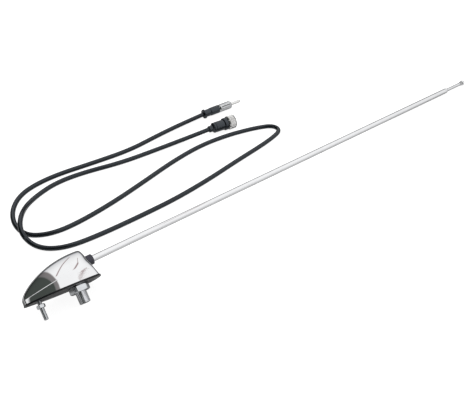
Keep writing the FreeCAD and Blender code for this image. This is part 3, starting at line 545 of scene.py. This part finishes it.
def plan_line(offset, fore, rear, steps):
    """The plan of the housing's foot, grown sideways by offset, forward by fore and aft by
    rear, as a closed ring: the flank curve, an arc round the tail, the other flank, and a
    straight blunt nose."""
    flank_end = TAIL_X - TAIL_ROUNDING
    x = NOSE_X + (flank_end - NOSE_X) * np.linspace(0, 1, steps) ** FOOT_CROWDING
    right = np.stack([x, half_width(x) + offset], axis=-1)
    right[0] = (NOSE_X - fore, NOSE_HALF_WIDTH + offset / 2)
    last = right[-1:]
    tail = arc_through(last, np.array([[TAIL_X + rear, 0.0]]), last * np.array([1.0, -1.0]),
                       np.linspace(0, 1, steps))[0]
    left = (right * np.array([1.0, -1.0]))[::-1]
    across = np.linspace(left[-1, 1], right[0, 1], GASKET_NOSE_POINTS)[1:-1]
    nose = np.stack([np.full_like(across, NOSE_X - fore), across], axis=-1)
    return np.concatenate([right, tail[1:-1], left, nose])


def build_gasket(material):
    """The rubber pad: the plan ring carried up a profile whose edges are rounded, drawn in
    across the top and the bottom to a closed pad."""
    ring = plan_line(GASKET_LEDGE, GASKET_NOSE_LEDGE, GASKET_REAR_LEDGE, GASKET_POINTS)
    inner = plan_line(GASKET_INSET, GASKET_INSET, GASKET_INSET, GASKET_POINTS)
    ease = np.array(GASKET_PROFILE)
    share = ease[:, None, :1]
    flat = ring[None] + (inner - ring)[None] * share
    height = np.repeat(ease[:, None, 1:], len(ring), axis=1)
    points = np.concatenate([flat, height], axis=-1)
    faces = grid_faces(len(ease), len(ring), False, True).tolist()
    faces.append(list(range(len(ring))))
    faces.append(list(range((len(ease) - 1) * len(ring), len(ease) * len(ring))))
    piece = mesh_piece("gasket_pad", placed(points, PANEL), faces, "base", material, 50.0)
    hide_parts("gasket")
    return piece


def thread_rows(low, high, pitch, per_turn):
    """Heights along a thread, fine enough for a few rows to each of its turns."""
    return np.linspace(low, high, int((high - low) / pitch * per_turn) + 1)


def thread_radius(radius, pitch, depth, a, z, low, high):
    """A screw thread: the radius less depth times a triangle wave of height over pitch less
    angle over a full turn, cut off to flat crests, and faded out at both ends."""
    fade = np.clip(np.minimum(z - low, high - z) / pitch + THREAD_END, 0, 1)
    wave = triangle_wave(z / pitch - a / (2 * pi))
    return radius - depth * np.clip(wave * THREAD_STEEPNESS - THREAD_CUT, 0, 1) * fade


def build_stub(material):
    """The hollow stub, hanging down: at angle a and height z its radius is the thread's, then
    the plain fixing radius inside the nut; the bore is straight, and a slot lifts the end
    where a is within its half width."""
    half_slot = STUB_SLOT_WIDTH / 2 / STUB_RADIUS
    edges = np.array([k * pi + d for k in (0, 1) for d in (-half_slot, half_slot)])
    outside = edges + np.array([-1, 1, -1, 1]) * SLOT_WALL
    even = np.linspace(0, 2 * pi, STUB_SIDES, endpoint=False) + COLUMN_SHIFT
    a = np.sort(np.concatenate([even, edges % (2 * pi), outside % (2 * pi)]))
    in_slot = np.abs((a + pi / 2) % pi - pi / 2) < half_slot + SLOT_WALL / 2
    end = np.where(in_slot, -STUB_REACH + STUB_SLOT_DEPTH, -STUB_REACH)
    low, step, top = -STUB_REACH + END_CHAMFER, -STUB_NUT_HEIGHT, STUB_TOP
    z = thread_rows(low, step, STUB_PITCH, FINE_ROWS)[:, None]
    r = thread_radius(STUB_RADIUS, STUB_PITCH, STUB_THREAD_DEPTH, a[None], z, low, step)
    z = np.maximum(z, end[None] + END_CHAMFER)
    upper = thread_rows(step + STUB_STEP_ROUND, top, STUB_PITCH, COARSE_ROWS)[:, None]
    bore = np.linspace(top, -STUB_REACH, STUB_BORE_ROWS)[:, None]
    rr = np.concatenate([np.full((STUB_BORE_ROWS, a.size), STUB_BORE),
                         np.full((1, a.size), STUB_RADIUS - STUB_END_INSET), r,
                         np.full((1, a.size), STUB_RADIUS - STUB_STEP_INSET),
                         np.full((len(upper) + 1, a.size), STUB_FIXING_RADIUS - IN_NUT)])
    zz = np.concatenate([np.maximum(bore, end[None]), end[None], z, np.full((2, a.size), step),
                         np.repeat(upper, a.size, axis=1)])
    points = np.stack([rr * np.cos(a), rr * np.sin(a), zz], axis=-1)
    faces = grid_faces(len(rr), a.size, True, True)
    piece = mesh_piece("stub_threaded", placed(points, PANEL), faces, "base", material, 40.0)
    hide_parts("mounting_stub")
    return piece


def build_stud(material):
    """The front stud, hanging down: a full thread with a short pointed end."""
    a = np.linspace(0, 2 * pi, STUD_SIDES, endpoint=False)
    low, high = -STUD_REACH + STUD_POINT, STUD_TOP
    z = thread_rows(low, high, STUD_PITCH, FINE_ROWS)
    r = thread_radius(STUD_RADIUS, STUD_PITCH, STUD_THREAD_DEPTH, a[None], z[:, None], low, high)
    zz = np.concatenate([[-STUD_REACH, -STUD_REACH], z, [STUD_TOP]])
    rr = np.concatenate([np.zeros((1, a.size)), np.full((1, a.size), STUD_RADIUS - STUD_POINT_INSET), r,
                         np.zeros((1, a.size))])
    points = np.stack([STUD_X + rr * np.cos(a), rr * np.sin(a),
                       np.repeat(zz[:, None], a.size, axis=1)], axis=-1)
    piece = mesh_piece("stud_threaded", placed(points, PANEL), grid_faces(len(zz), a.size, False, True),
                       "base", material, 40.0)
    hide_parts("front_stud")
    return piece


def build_nut(name, node, centre_x, flats, height, bore, top, material):
    """A hex nut: at angle a its radius is the hexagon's, with softened corners, capped near
    both faces by a 30 degree cone; its bore is countersunk."""
    a = np.linspace(0, 2 * pi, NUT_SIDES, endpoint=False)
    fold = np.abs(a % (pi / 3) - pi / 6)
    hexagon = flats / 2 / np.cos(fold)
    hexagon = np.minimum(hexagon, flats / 2 / cos(NUT_CORNER_TURN))
    low = np.linspace(NUT_FIRST_RISE, NUT_CONE_HEIGHT, NUT_CONE_ROWS)
    high = np.linspace(height - NUT_CONE_HEIGHT, height - NUT_FIRST_RISE, NUT_CONE_ROWS)
    rise = np.concatenate([[0.0, 0.0, 0.0], low, high, [height, height, height]])
    face = flats / 2 - NUT_FACE_INSET
    cone = face + np.minimum(rise, height - rise)[:, None] / tan(NUT_CONE)
    r = np.minimum(hexagon[None], cone)
    r[[0, -1]] = bore + NUT_COUNTERSINK
    r[[1, -2]] = face * NUT_FACE_RING
    rr = np.concatenate([r, np.full((2, a.size), bore)])
    zz = np.concatenate([rise, [height - NUT_COUNTERSINK, NUT_COUNTERSINK]])
    points = np.stack([centre_x + rr * np.cos(a), rr * np.sin(a),
                       np.repeat(zz[:, None], a.size, axis=1) + top - height], axis=-1)
    faces = grid_faces(len(zz), a.size, True, True)
    piece = mesh_piece(name, placed(points, PANEL), faces, "base", material, 32.0)
    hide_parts(node)
    return piece


def noise(nodes, links, scale, detail):
    """A noise texture on object coordinates, inside a group."""
    where = nodes.new("ShaderNodeTexCoord")
    texture = nodes.new("ShaderNodeTexNoise")
    texture.inputs["Detail"].default_value = detail
    links.new(where.outputs["Object"], texture.inputs["Vector"])
    links.new(scale, texture.inputs["Scale"])
    return texture.outputs["Fac"]


def surface_group(name, sockets, detail):
    """A group that spreads the middle of a noise between a low and a high value."""
    group = bpy.data.node_groups.new(name, "ShaderNodeTree")
    for label, value in sockets:
        socket = group.interface.new_socket(label, in_out="INPUT", socket_type="NodeSocketFloat")
        socket.default_value = value
    group.interface.new_socket("Value", in_out="OUTPUT", socket_type="NodeSocketFloat")
    nodes, links = group.nodes, group.links
    entry, out = nodes.new("NodeGroupInput"), nodes.new("NodeGroupOutput")
    fac = noise(nodes, links, entry.outputs["Scale"], detail)
    spread = nodes.new("ShaderNodeMapRange")
    spread.interpolation_type = "SMOOTHSTEP"
    spread.inputs["From Min"].default_value = NOISE_MIDDLE[0]
    spread.inputs["From Max"].default_value = NOISE_MIDDLE[1]
    links.new(fac, spread.inputs["Value"])
    links.new(entry.outputs["Low"], spread.inputs["To Min"])
    links.new(entry.outputs["High"], spread.inputs["To Max"])
    links.new(spread.outputs["Result"], out.inputs["Value"])
    return group


NOISE_MIDDLE = (0.35, 0.65)
TINT_SCALE = 1.7
MARKS = surface_group("handling_marks", (("Scale", 60.0), ("Low", 0.03), ("High", 0.08)), 4.0)
GRAIN = surface_group("moulded_grain", (("Scale", 2500.0), ("Low", 0.0), ("High", 1.0)), 2.0)


def placed_group(material, group, **values):
    """A group node in a material, with its own values."""
    node = material.node_tree.nodes.new("ShaderNodeGroup")
    node.node_tree = group
    for label, value in values.items():
        node.inputs[label].default_value = value
    return node.outputs["Value"]


def finish(name, colour, metallic, rough, marks_scale, grain_scale, grain_depth, tint=0.9, specular=0.5,
           edge=1.0, shine=(1.0, 1.0, 1.0)):
    """A material: plain colour mixed with tint times itself by faint marks, roughness between
    two values, and a fine grain as bump. Edge is how much of its shine is left at a glancing
    angle, where metal shows a darker outline, and shine is the colour of that shine."""
    material = bpy.data.materials.new(name)
    material.use_nodes = True
    nodes, links = material.node_tree.nodes, material.node_tree.links
    shader = nodes["Principled BSDF"]
    shader.inputs["Metallic"].default_value = metallic
    shader.inputs["Specular IOR Level"].default_value = specular
    shader.inputs["Specular Tint"].default_value = (*(edge * c for c in shine), 1.0)
    links.new(placed_group(material, MARKS, Scale=marks_scale, Low=rough[0], High=rough[1]),
              shader.inputs["Roughness"])
    mix = nodes.new("ShaderNodeMix")
    mix.data_type = "RGBA"
    mix.inputs["A"].default_value = (*colour, 1.0)
    mix.inputs["B"].default_value = (*(c * tint for c in colour), 1.0)
    links.new(placed_group(material, MARKS, Scale=marks_scale * TINT_SCALE, Low=0.0, High=1.0),
              mix.inputs["Factor"])
    links.new(mix.outputs["Result"], shader.inputs["Base Color"])
    bump = nodes.new("ShaderNodeBump")
    bump.inputs["Strength"].default_value = 1.0
    bump.inputs["Distance"].default_value = grain_depth * MM
    links.new(placed_group(material, GRAIN, Scale=grain_scale, Low=0.0, High=1.0), bump.inputs["Height"])
    links.new(bump.outputs["Normal"], shader.inputs["Normal"])
    return material


BLUE_SHINE = (0.80, 0.90, 1.0)
CHROME = finish("chrome_plate", (0.90, 0.905, 0.915), 1.0, (0.02, 0.05), 40.0, 900.0, 0.0006, 0.97,
                edge=0.25)
TUBE_CHROME = finish("drawn_tube_chrome", (0.92, 0.925, 0.935), 1.0, (0.03, 0.07), 60.0, 1500.0, 0.0006,
                     0.97, edge=0.0)
ZINC = finish("zinc_plated_steel", (0.76, 0.78, 0.80), 1.0, (0.06, 0.14), 150.0, 3000.0, 0.001, 0.88,
              edge=0.3)
STUB_PLATE = finish("plated_brass", (0.80, 0.81, 0.83), 1.0, (0.05, 0.12), 150.0, 3000.0, 0.001, 0.9,
                    edge=0.3)
NICKEL = finish("bright_nickel", (0.88, 0.875, 0.86), 1.0, (0.04, 0.10), 200.0, 3000.0, 0.0008, 0.95,
                edge=0.0)
SPRING_NICKEL = finish("spring_nickel", (0.70, 0.71, 0.72), 1.0, (0.05, 0.12), 200.0, 3000.0, 0.0008, 0.8,
                       edge=0.0)
BRASS = finish("turned_brass", (0.78, 0.60, 0.30), 1.0, (0.15, 0.3), 200.0, 3000.0, 0.002, 0.85)
GASKET_RUBBER = finish("gasket_rubber", (0.003, 0.0033, 0.0045), 0.0, (0.30, 0.42), 120.0, 2600.0, 0.008,
                       1.6, 0.35)
COLLAR_PLASTIC = finish("collar_plastic", (0.012, 0.012, 0.026), 0.0, (0.22, 0.34), 200.0, 3500.0, 0.006,
                        1.4, 0.7)
BOOT_PLASTIC = finish("boot_plastic", (0.002, 0.0026, 0.004), 0.0, (0.18, 0.28), 150.0, 3000.0, 0.006, 1.5,
                      0.95, shine=BLUE_SHINE)
JACKET = finish("cable_jacket", (0.002, 0.0026, 0.0036), 0.0, (0.17, 0.25), 90.0, 2500.0, 0.004, 1.5, 0.7,
                shine=BLUE_SHINE)
INSULATOR = finish("white_insulator", (0.80, 0.79, 0.74), 0.0, (0.35, 0.5), 200.0, 2500.0, 0.004, 0.93, 0.4)


def build_mast():
    """The mast, all lathe shapes: collar, outer tube with a rolled mouth, middle tube, tip
    rod, and a ball whose profile is a circle behind a short neck."""
    collar = turned_piece("collar_sleeve", [
        (COLLAR_START, 0), (COLLAR_START, COLLAR_RADIUS), (COLLAR_END - 0.3, COLLAR_RADIUS),
        (COLLAR_END, COLLAR_RADIUS - 0.5), (COLLAR_END, OUTER_RADIUS + 0.02),
        (COLLAR_END - 1, OUTER_RADIUS + 0.02), (COLLAR_END - 1, 0)], MAST, "base",
        COLLAR_PLASTIC)
    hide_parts("mast_collar")
    bore = MIDDLE_RADIUS + SLIDE_CLEARANCE
    outer = turned_piece("outer_section", [
        (OUTER_START, bore), (OUTER_START, OUTER_RADIUS), (OUTER_END - 3.4, OUTER_RADIUS),
        (OUTER_END - 2.6, OUTER_RADIUS - 0.22), (OUTER_END - 1.8, OUTER_RADIUS - 0.05),
        (OUTER_END - 0.8, OUTER_RADIUS - 0.1), (OUTER_END, bore + 0.15), (OUTER_END, bore),
        (OUTER_START, bore)], MAST, "base", TUBE_CHROME, 0.2, 96)
    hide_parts("mast_outer_tube")
    hole = ROD_RADIUS + SLIDE_CLEARANCE
    middle = turned_piece("middle_section_tube", [
        (MIDDLE_START, hole), (MIDDLE_START, MIDDLE_RADIUS), (MIDDLE_END - 0.4, MIDDLE_RADIUS),
        (MIDDLE_END, MIDDLE_RADIUS - 0.3), (MIDDLE_END, hole), (MIDDLE_START, hole)],
        MAST, "middle_section", TUBE_CHROME, 0.15, 80)
    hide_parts("mast_middle_tube")
    tip = turned_piece("tip_section_rod", [
        (ROD_START, 0), (ROD_START, ROD_RADIUS), (ROD_END, ROD_RADIUS), (ROD_END, 0)],
        MAST, "tip_section", TUBE_CHROME, 0.1, 64)
    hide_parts("mast_tip_rod")
    ball_profile = [
        (BALL_CENTRE - 4.4, 0), (BALL_CENTRE - 4.4, ROD_RADIUS + 0.25), (BALL_CENTRE - 4.1, ROD_RADIUS + 0.5),
        (BALL_CENTRE - 3.2, ROD_RADIUS + 0.5), (BALL_CENTRE - 2.7, ROD_RADIUS - 0.15)]
    ball_profile += [(BALL_CENTRE + BALL_RADIUS * cos(t), BALL_RADIUS * sin(t))
                     for t in np.linspace(BALL_FROM, 0, BALL_ROWS)]
    ball = turned_piece("ball_tip", ball_profile, MAST, "tip_section", TUBE_CHROME, 0.12, 64)
    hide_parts("mast_tip_ball")


def knurl_radius(a, x):
    """A diamond knurl: the radius less its depth times the greater of two crossing triangle
    waves, one turning each way, cut off below so that the ridges are flat, and faded out at
    the ends of its band."""
    low, high = KNURL_BAND
    lean = (x - low) * KNURL_LEAN
    around = KNURL_COUNT * a / (2 * pi)
    groove = np.maximum(triangle_wave(around + lean), triangle_wave(around - lean))
    band = np.clip(np.minimum(x - low, high - x) / KNURL_FADE, 0, 1)
    return KNURL_RADIUS - KNURL_DEPTH * np.clip(groove * KNURL_STEEPNESS - KNURL_CUT, 0, 1) * band


def build_coupling_ring():
    """The coupling's nut, a closed section carried round the axis: up its rear, along the
    knurl, over its mouth, and back along its inner thread and recess."""
    a = np.linspace(0, 2 * pi, RING_SIDES, endpoint=False)
    x = np.linspace(*KNURL_BAND, KNURL_ROWS)
    inward = np.linspace(*RING_THREAD, RING_THREAD_ROWS)[::-1]
    knurl = knurl_radius(a[None], x[:, None])
    thread = thread_radius(RING_THREAD_RADIUS, RING_THREAD_PITCH, -RING_THREAD_DEPTH, a[None],
                           inward[:, None], *RING_THREAD_FADE)
    rear, mouth, inside = (np.array(p) for p in (RING_REAR, RING_MOUTH, RING_INSIDE))
    xs = np.concatenate([rear[:, 0], x, mouth[:, 0], inward, inside[:, 0]])
    rs = np.concatenate([np.repeat(rear[:, 1:], a.size, axis=1), knurl,
                         np.repeat(mouth[:, 1:], a.size, axis=1), thread,
                         np.repeat(inside[:, 1:], a.size, axis=1)])
    points = np.stack([np.repeat(xs[:, None], a.size, axis=1), rs * np.cos(a), rs * np.sin(a)], axis=-1)
    faces = grid_faces(len(xs), a.size, True, True)
    nut = mesh_piece("coupling_knurled_nut", placed(points, COUPLING), faces, "coupling_ring",
                     NICKEL, 40.0)
    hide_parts("coupling_nut")


def build_coupling():
    """The screw coupling: boot, flanged body, knurled nut, core and pin."""
    boot = turned_piece("coupling_grip", COUPLING_GRIP, COUPLING, "base", BOOT_PLASTIC, 0.3)
    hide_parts("coupling_boot")
    body = turned_piece("coupling_flange", COUPLING_FLANGE, COUPLING, "base",
                        BOOT_PLASTIC, 0.3)
    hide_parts("coupling_body")
    build_coupling_ring()
    core = turned_piece("coupling_core", COUPLING_CORE, COUPLING, "base", INSULATOR, 0.3)
    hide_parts("coupling_insulator")
    pin = turned_piece("coupling_centre_pin", COUPLING_PIN, COUPLING, "base", BRASS, 0.3, 40)
    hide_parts("coupling_pin")


def build_plug_barrel():
    """The sprung barrel: a lathe skin whose faces inside four lengthwise slots are left out,
    then given its wall. Columns stand on both edges of each slot."""
    fore, aft = BARREL_SLOT
    quarters = BARREL_SLOT_AT + np.arange(4) * pi / 2
    edges = (quarters[:, None] + np.array([-BARREL_SLOT_HALF, BARREL_SLOT_HALF])).reshape(-1)
    even = np.linspace(0, 2 * pi, BARREL_SIDES, endpoint=False) + BARREL_COLUMN_SHIFT
    a = np.sort(np.concatenate([even, edges]) % (2 * pi))
    profile = eased([(BARREL_START, BARREL_RADIUS), (24.9, BARREL_RADIUS), (fore, BARREL_RADIUS),
                     (aft, BARREL_RADIUS)] + BARREL_NOSE, 0.3, 4)
    middle = np.linspace(*BARREL_SLOT_INNER, BARREL_SLOT_ROWS)
    profile = np.concatenate([profile[profile[:, 0] < fore], [(fore, BARREL_RADIUS)],
                              np.stack([middle, np.full_like(middle, BARREL_RADIUS)], axis=1),
                              [(aft, BARREL_RADIUS)], profile[profile[:, 0] > aft]])
    x = np.repeat(profile[:, :1], a.size, axis=1)
    points = np.stack([x, profile[:, 1:] * np.cos(a), profile[:, 1:] * np.sin(a)], axis=-1)
    faces = grid_faces(len(profile), a.size, False, True)
    row, column = np.divmod(np.arange(len(faces)), a.size)
    along = (profile[row, 0] + profile[np.minimum(row + 1, len(profile) - 1), 0]) / 2
    following = a[(column + 1) % a.size] + 2 * pi * (column == a.size - 1)
    around = (a[column] + following) / 2
    gap = np.abs((around - BARREL_SLOT_AT + pi / 4) % (pi / 2) - pi / 4)
    keep = ~((gap < BARREL_SLOT_HALF) & (along > fore) & (along < aft))
    barrel = mesh_piece("plug_sprung_barrel", placed(points, PLUG), faces[keep], "base",
                        SPRING_NICKEL, 35.0)
    wall = barrel.modifiers.new("wall", "SOLIDIFY")
    wall.thickness = BARREL_WALL * MM
    wall.offset = -1.0
    wall.use_even_offset = True
    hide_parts("plug_barrel")


def build_plug():
    """The radio plug: boot, sprung barrel, core and centre pin."""
    boot = turned_piece("plug_grip", PLUG_GRIP, PLUG, "base", BOOT_PLASTIC, 0.3)
    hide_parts("plug_boot")
    build_plug_barrel()
    core = turned_piece("plug_core", PLUG_CORE, PLUG, "base", INSULATOR, 0.2)
    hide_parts("plug_insulator")
    pin = turned_piece("plug_centre_pin", PLUG_PIN, PLUG, "base", NICKEL, 0.5, 48)
    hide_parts("plug_pin")


def build_lead():
    """The coaxial lead: one smooth quadratic spline whose control points are the route's."""
    curve = bpy.data.curves.new("coaxial_lead", "CURVE")
    curve.dimensions = "3D"
    curve.bevel_depth = CABLE_RADIUS * MM
    curve.bevel_resolution = 8
    curve.use_fill_caps = True
    spline = curve.splines.new("NURBS")
    spline.points.add(len(CORD_ROUTE) - 1)
    route = np.array([(x * MM, y * MM, z * MM, 1.0) for x, y, z in CORD_ROUTE])
    spline.points.foreach_set("co", route.reshape(-1))
    spline.order_u = 3
    spline.use_endpoint_u = True
    spline.resolution_u = 14
    curve.materials.append(JACKET)
    lead = bpy.data.objects.new("coaxial_lead", curve)
    bpy.context.scene.collection.objects.link(lead)
    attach(lead, "base")
    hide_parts("lead_cable")


def seam_group():
    """A group for one seam of the studio's tent: 1 on a line on the ceiling from one end to
    the other, fading to 0 at its half width. Ceiling places are x / z and y / z of a ray."""
    group = bpy.data.node_groups.new("tent_seam", "ShaderNodeTree")
    for label in ("U", "V", "Start U", "Start V", "End U", "End V", "Half Width"):
        group.interface.new_socket(label, in_out="INPUT", socket_type="NodeSocketFloat")
    group.interface.new_socket("Mask", in_out="OUTPUT", socket_type="NodeSocketFloat")
    nodes, links = group.nodes, group.links
    entry, out = nodes.new("NodeGroupInput"), nodes.new("NodeGroupOutput")

    def pair(u, v):
        """Two of the group's inputs as one vector."""
        node = nodes.new("ShaderNodeCombineXYZ")
        links.new(entry.outputs[u], node.inputs[0])
        links.new(entry.outputs[v], node.inputs[1])
        return node.outputs[0]

    def vector(operation, *sources):
        """A vector math node on the sources."""
        node = nodes.new("ShaderNodeVectorMath")
        node.operation = operation
        for i, source in enumerate(sources):
            links.new(source, node.inputs[i])
        return node

    def number(operation, *sources):
        """The result of a math node on the sources, kept from 0 to 1 for a division."""
        node = nodes.new("ShaderNodeMath")
        node.operation = operation
        node.use_clamp = operation == "DIVIDE"
        for i, source in enumerate(sources):
            links.new(source, node.inputs[i])
        return node.outputs[0]

    start = pair("Start U", "Start V")
    along = vector("SUBTRACT", pair("End U", "End V"), start).outputs[0]
    place = vector("SUBTRACT", pair("U", "V"), start).outputs[0]
    share = number("DIVIDE", vector("DOT_PRODUCT", place, along).outputs["Value"],
                   vector("DOT_PRODUCT", along, along).outputs["Value"])
    nearest = nodes.new("ShaderNodeVectorMath")
    nearest.operation = "SCALE"
    links.new(along, nearest.inputs[0])
    links.new(share, nearest.inputs["Scale"])
    gap = vector("DISTANCE", place, nearest.outputs[0]).outputs["Value"]
    fade = nodes.new("ShaderNodeMapRange")
    fade.interpolation_type = "SMOOTHSTEP"
    links.new(gap, fade.inputs["Value"])
    links.new(entry.outputs["Half Width"], fade.inputs["From Max"])
    fade.inputs["To Min"].default_value = 1.0
    fade.inputs["To Max"].default_value = 0.0
    links.new(fade.outputs["Result"], out.inputs["Mask"])
    return group


def studio_world():
    """Plain light for dull surfaces, white for the camera and through glass, and for metal a
    tent that is open and dark to the left but for a slit, with a dim horizon and three seams
    in its white ceiling."""
    world = bpy.data.worlds.new("studio")
    world.use_nodes = True
    nodes, links = world.node_tree.nodes, world.node_tree.links
    background = nodes["Background"]
    where = nodes.new("ShaderNodeTexCoord")
    split = nodes.new("ShaderNodeSeparateXYZ")
    links.new(where.outputs["Generated"], split.inputs[0])

    def ramp(source, low, high, stops):
        """A colour by a value: stops are values from low to high and their colours."""
        spread = nodes.new("ShaderNodeMapRange")
        spread.inputs["From Min"].default_value = low
        spread.inputs["From Max"].default_value = high
        links.new(source, spread.inputs["Value"])
        node = nodes.new("ShaderNodeValToRGB")
        elements = node.color_ramp.elements
        elements.remove(elements[1])
        elements[0].position = (stops[0][0] - low) / (high - low)
        elements[0].color = (*stops[0][1], 1.0)
        for at, colour in stops[1:]:
            elements.new((at - low) / (high - low)).color = (*colour, 1.0)
        links.new(spread.outputs["Result"], node.inputs["Fac"])
        return node.outputs["Color"]

    def blend(kind, factor, a, b):
        """A colour mix whose factor and colours are sockets or plain values."""
        node = nodes.new("ShaderNodeMix")
        node.data_type = "RGBA"
        node.blend_type = kind
        for socket, value in (("Factor", factor), ("A", a), ("B", b)):
            if isinstance(value, (float, tuple)):
                node.inputs[socket].default_value = value
            else:
                links.new(value, node.inputs[socket])
        return node.outputs["Result"]

    sides = ramp(split.outputs["X"], -1.0, 1.0, TENT_SIDES)
    heights = ramp(split.outputs["Z"], -0.2, 1.0, TENT_HEIGHTS)
    sides = blend("LIGHTEN", 1.0, sides, ramp(split.outputs["Y"], -1.0, 1.0, TENT_SLIT))
    heights = blend("LIGHTEN", 1.0, heights, ramp(split.outputs["Y"], -1.0, 1.0, TENT_BACK))
    tent = blend("MULTIPLY", 1.0, sides, heights)
    upward = nodes.new("ShaderNodeMath")
    upward.operation = "MAXIMUM"
    upward.inputs[1].default_value = 0.05
    links.new(split.outputs["Z"], upward.inputs[0])
    ceiling = []
    for axis in "XY":
        node = nodes.new("ShaderNodeMath")
        node.operation = "DIVIDE"
        links.new(split.outputs[axis], node.inputs[0])
        links.new(upward.outputs[0], node.inputs[1])
        ceiling.append(node.outputs[0])
    seam = seam_group()
    for ends in TENT_SEAMS:
        node = nodes.new("ShaderNodeGroup")
        node.node_tree = seam
        links.new(ceiling[0], node.inputs["U"])
        links.new(ceiling[1], node.inputs["V"])
        for label, value in zip(("Start U", "Start V", "End U", "End V", "Half Width"), ends):
            node.inputs[label].default_value = value
        tent = blend("MIX", node.outputs["Mask"], tent, SEAM_COLOUR)
    rays = nodes.new("ShaderNodeLightPath")
    light = blend("MIX", rays.outputs["Is Glossy Ray"], DULL_LIGHT, tent)
    through = nodes.new("ShaderNodeMath")
    through.operation = "MAXIMUM"
    links.new(rays.outputs["Is Camera Ray"], through.inputs[0])
    links.new(rays.outputs["Is Transmission Ray"], through.inputs[1])
    seen = blend("MIX", through.outputs[0], light, WHITE)
    links.new(seen, background.inputs["Color"])
    return world


def build_studio():
    """A grey floor that is lifted to white where it is seen, and partly where metal mirrors it,
    the tent as the world, two soft lamps, and the camera of the photograph."""
    scene = bpy.context.scene
    scene.view_settings.view_transform = "Standard"
    mesh = bpy.data.meshes.new("floor")
    corners = [(x * FLOOR_HALF, y * FLOOR_HALF, 0) for x, y in ((-1, -1), (1, -1), (1, 1), (-1, 1))]
    mesh.from_pydata(corners, [], [(0, 1, 2, 3)])
    floor = bpy.data.objects.new("floor", mesh)
    scene.collection.objects.link(floor)
    material = bpy.data.materials.new("floor_white")
    material.use_nodes = True
    nodes, links = material.node_tree.nodes, material.node_tree.links
    shader = nodes["Principled BSDF"]
    shader.inputs["Base Color"].default_value = (FLOOR_GREY, FLOOR_GREY, FLOOR_GREY, 1.0)
    shader.inputs["Roughness"].default_value = 1.0
    shader.inputs["Specular IOR Level"].default_value = 0.0
    rays = nodes.new("ShaderNodeLightPath")
    in_metal = nodes.new("ShaderNodeMath")
    in_metal.operation = "MULTIPLY"
    in_metal.inputs[1].default_value = FLOOR_LIFT_IN_METAL
    links.new(rays.outputs["Is Glossy Ray"], in_metal.inputs[0])
    shown = rays.outputs["Is Camera Ray"]
    for other in (in_metal.outputs[0], rays.outputs["Is Transmission Ray"]):
        node = nodes.new("ShaderNodeMath")
        node.operation = "MAXIMUM"
        links.new(shown, node.inputs[0])
        links.new(other, node.inputs[1])
        shown = node.outputs[0]
    lift = nodes.new("ShaderNodeMath")
    lift.operation = "MULTIPLY"
    lift.inputs[1].default_value = FLOOR_LIFT
    links.new(shown, lift.inputs[0])
    shader.inputs["Emission Color"].default_value = WHITE
    links.new(lift.outputs[0], shader.inputs["Emission Strength"])
    floor.data.materials.append(material)

    scene.world = studio_world()

    for name, where_at, size, power in LAMPS:
        lamp = bpy.data.lights.new(name, "AREA")
        lamp.shape = "DISK"
        lamp.size = size
        lamp.energy = power
        obj = bpy.data.objects.new(name, lamp)
        obj.location = where_at
        heading = -unit(where_at)
        obj.rotation_euler = (pi / 2 + np.arcsin(heading[2]), 0.0, atan2(-heading[0], heading[1]))
        obj.visible_glossy = False
        scene.collection.objects.link(obj)

    camera = bpy.data.cameras.new("photo_camera")
    camera.sensor_width = CAMERA_SENSOR
    camera.lens = CAMERA_LENS
    obj = bpy.data.objects.new("photo_camera", camera)
    obj.location = CAMERA_PLACE
    obj.rotation_euler = CAMERA_TURN
    scene.collection.objects.link(obj)
    scene.camera = obj


def dress_hidden_nodes():
    """CAD nodes that stay as they are get the finish of their kind."""
    finishes = {"stub_insulator": INSULATOR, "stub_contact": BRASS, "mast_foot": BRASS, "feed_strip": BRASS,
                "middle_foot": BRASS, "tip_foot": BRASS}
    for node, material in finishes.items():
        mesh = frame["nodes"][node].data
        mesh.materials.clear()
        mesh.materials.append(material)


build_housing(CHROME)
build_gasket(GASKET_RUBBER)
build_stub(STUB_PLATE)
build_stud(ZINC)
build_nut("stub_hex_nut", "stub_nut", 0.0, STUB_NUT_FLATS, STUB_NUT_HEIGHT,
          STUB_FIXING_RADIUS - STUB_NUT_BITE, 0.0, ZINC)
build_nut("stud_hex_nut", "front_nut", STUD_X, STUD_NUT_FLATS, STUD_NUT_HEIGHT,
          STUD_RADIUS - STUD_NUT_BITE, -STUD_NUT_DROP, ZINC)
build_mast()
build_coupling()
build_plug()
build_lead()
dress_hidden_nodes()
build_studio()
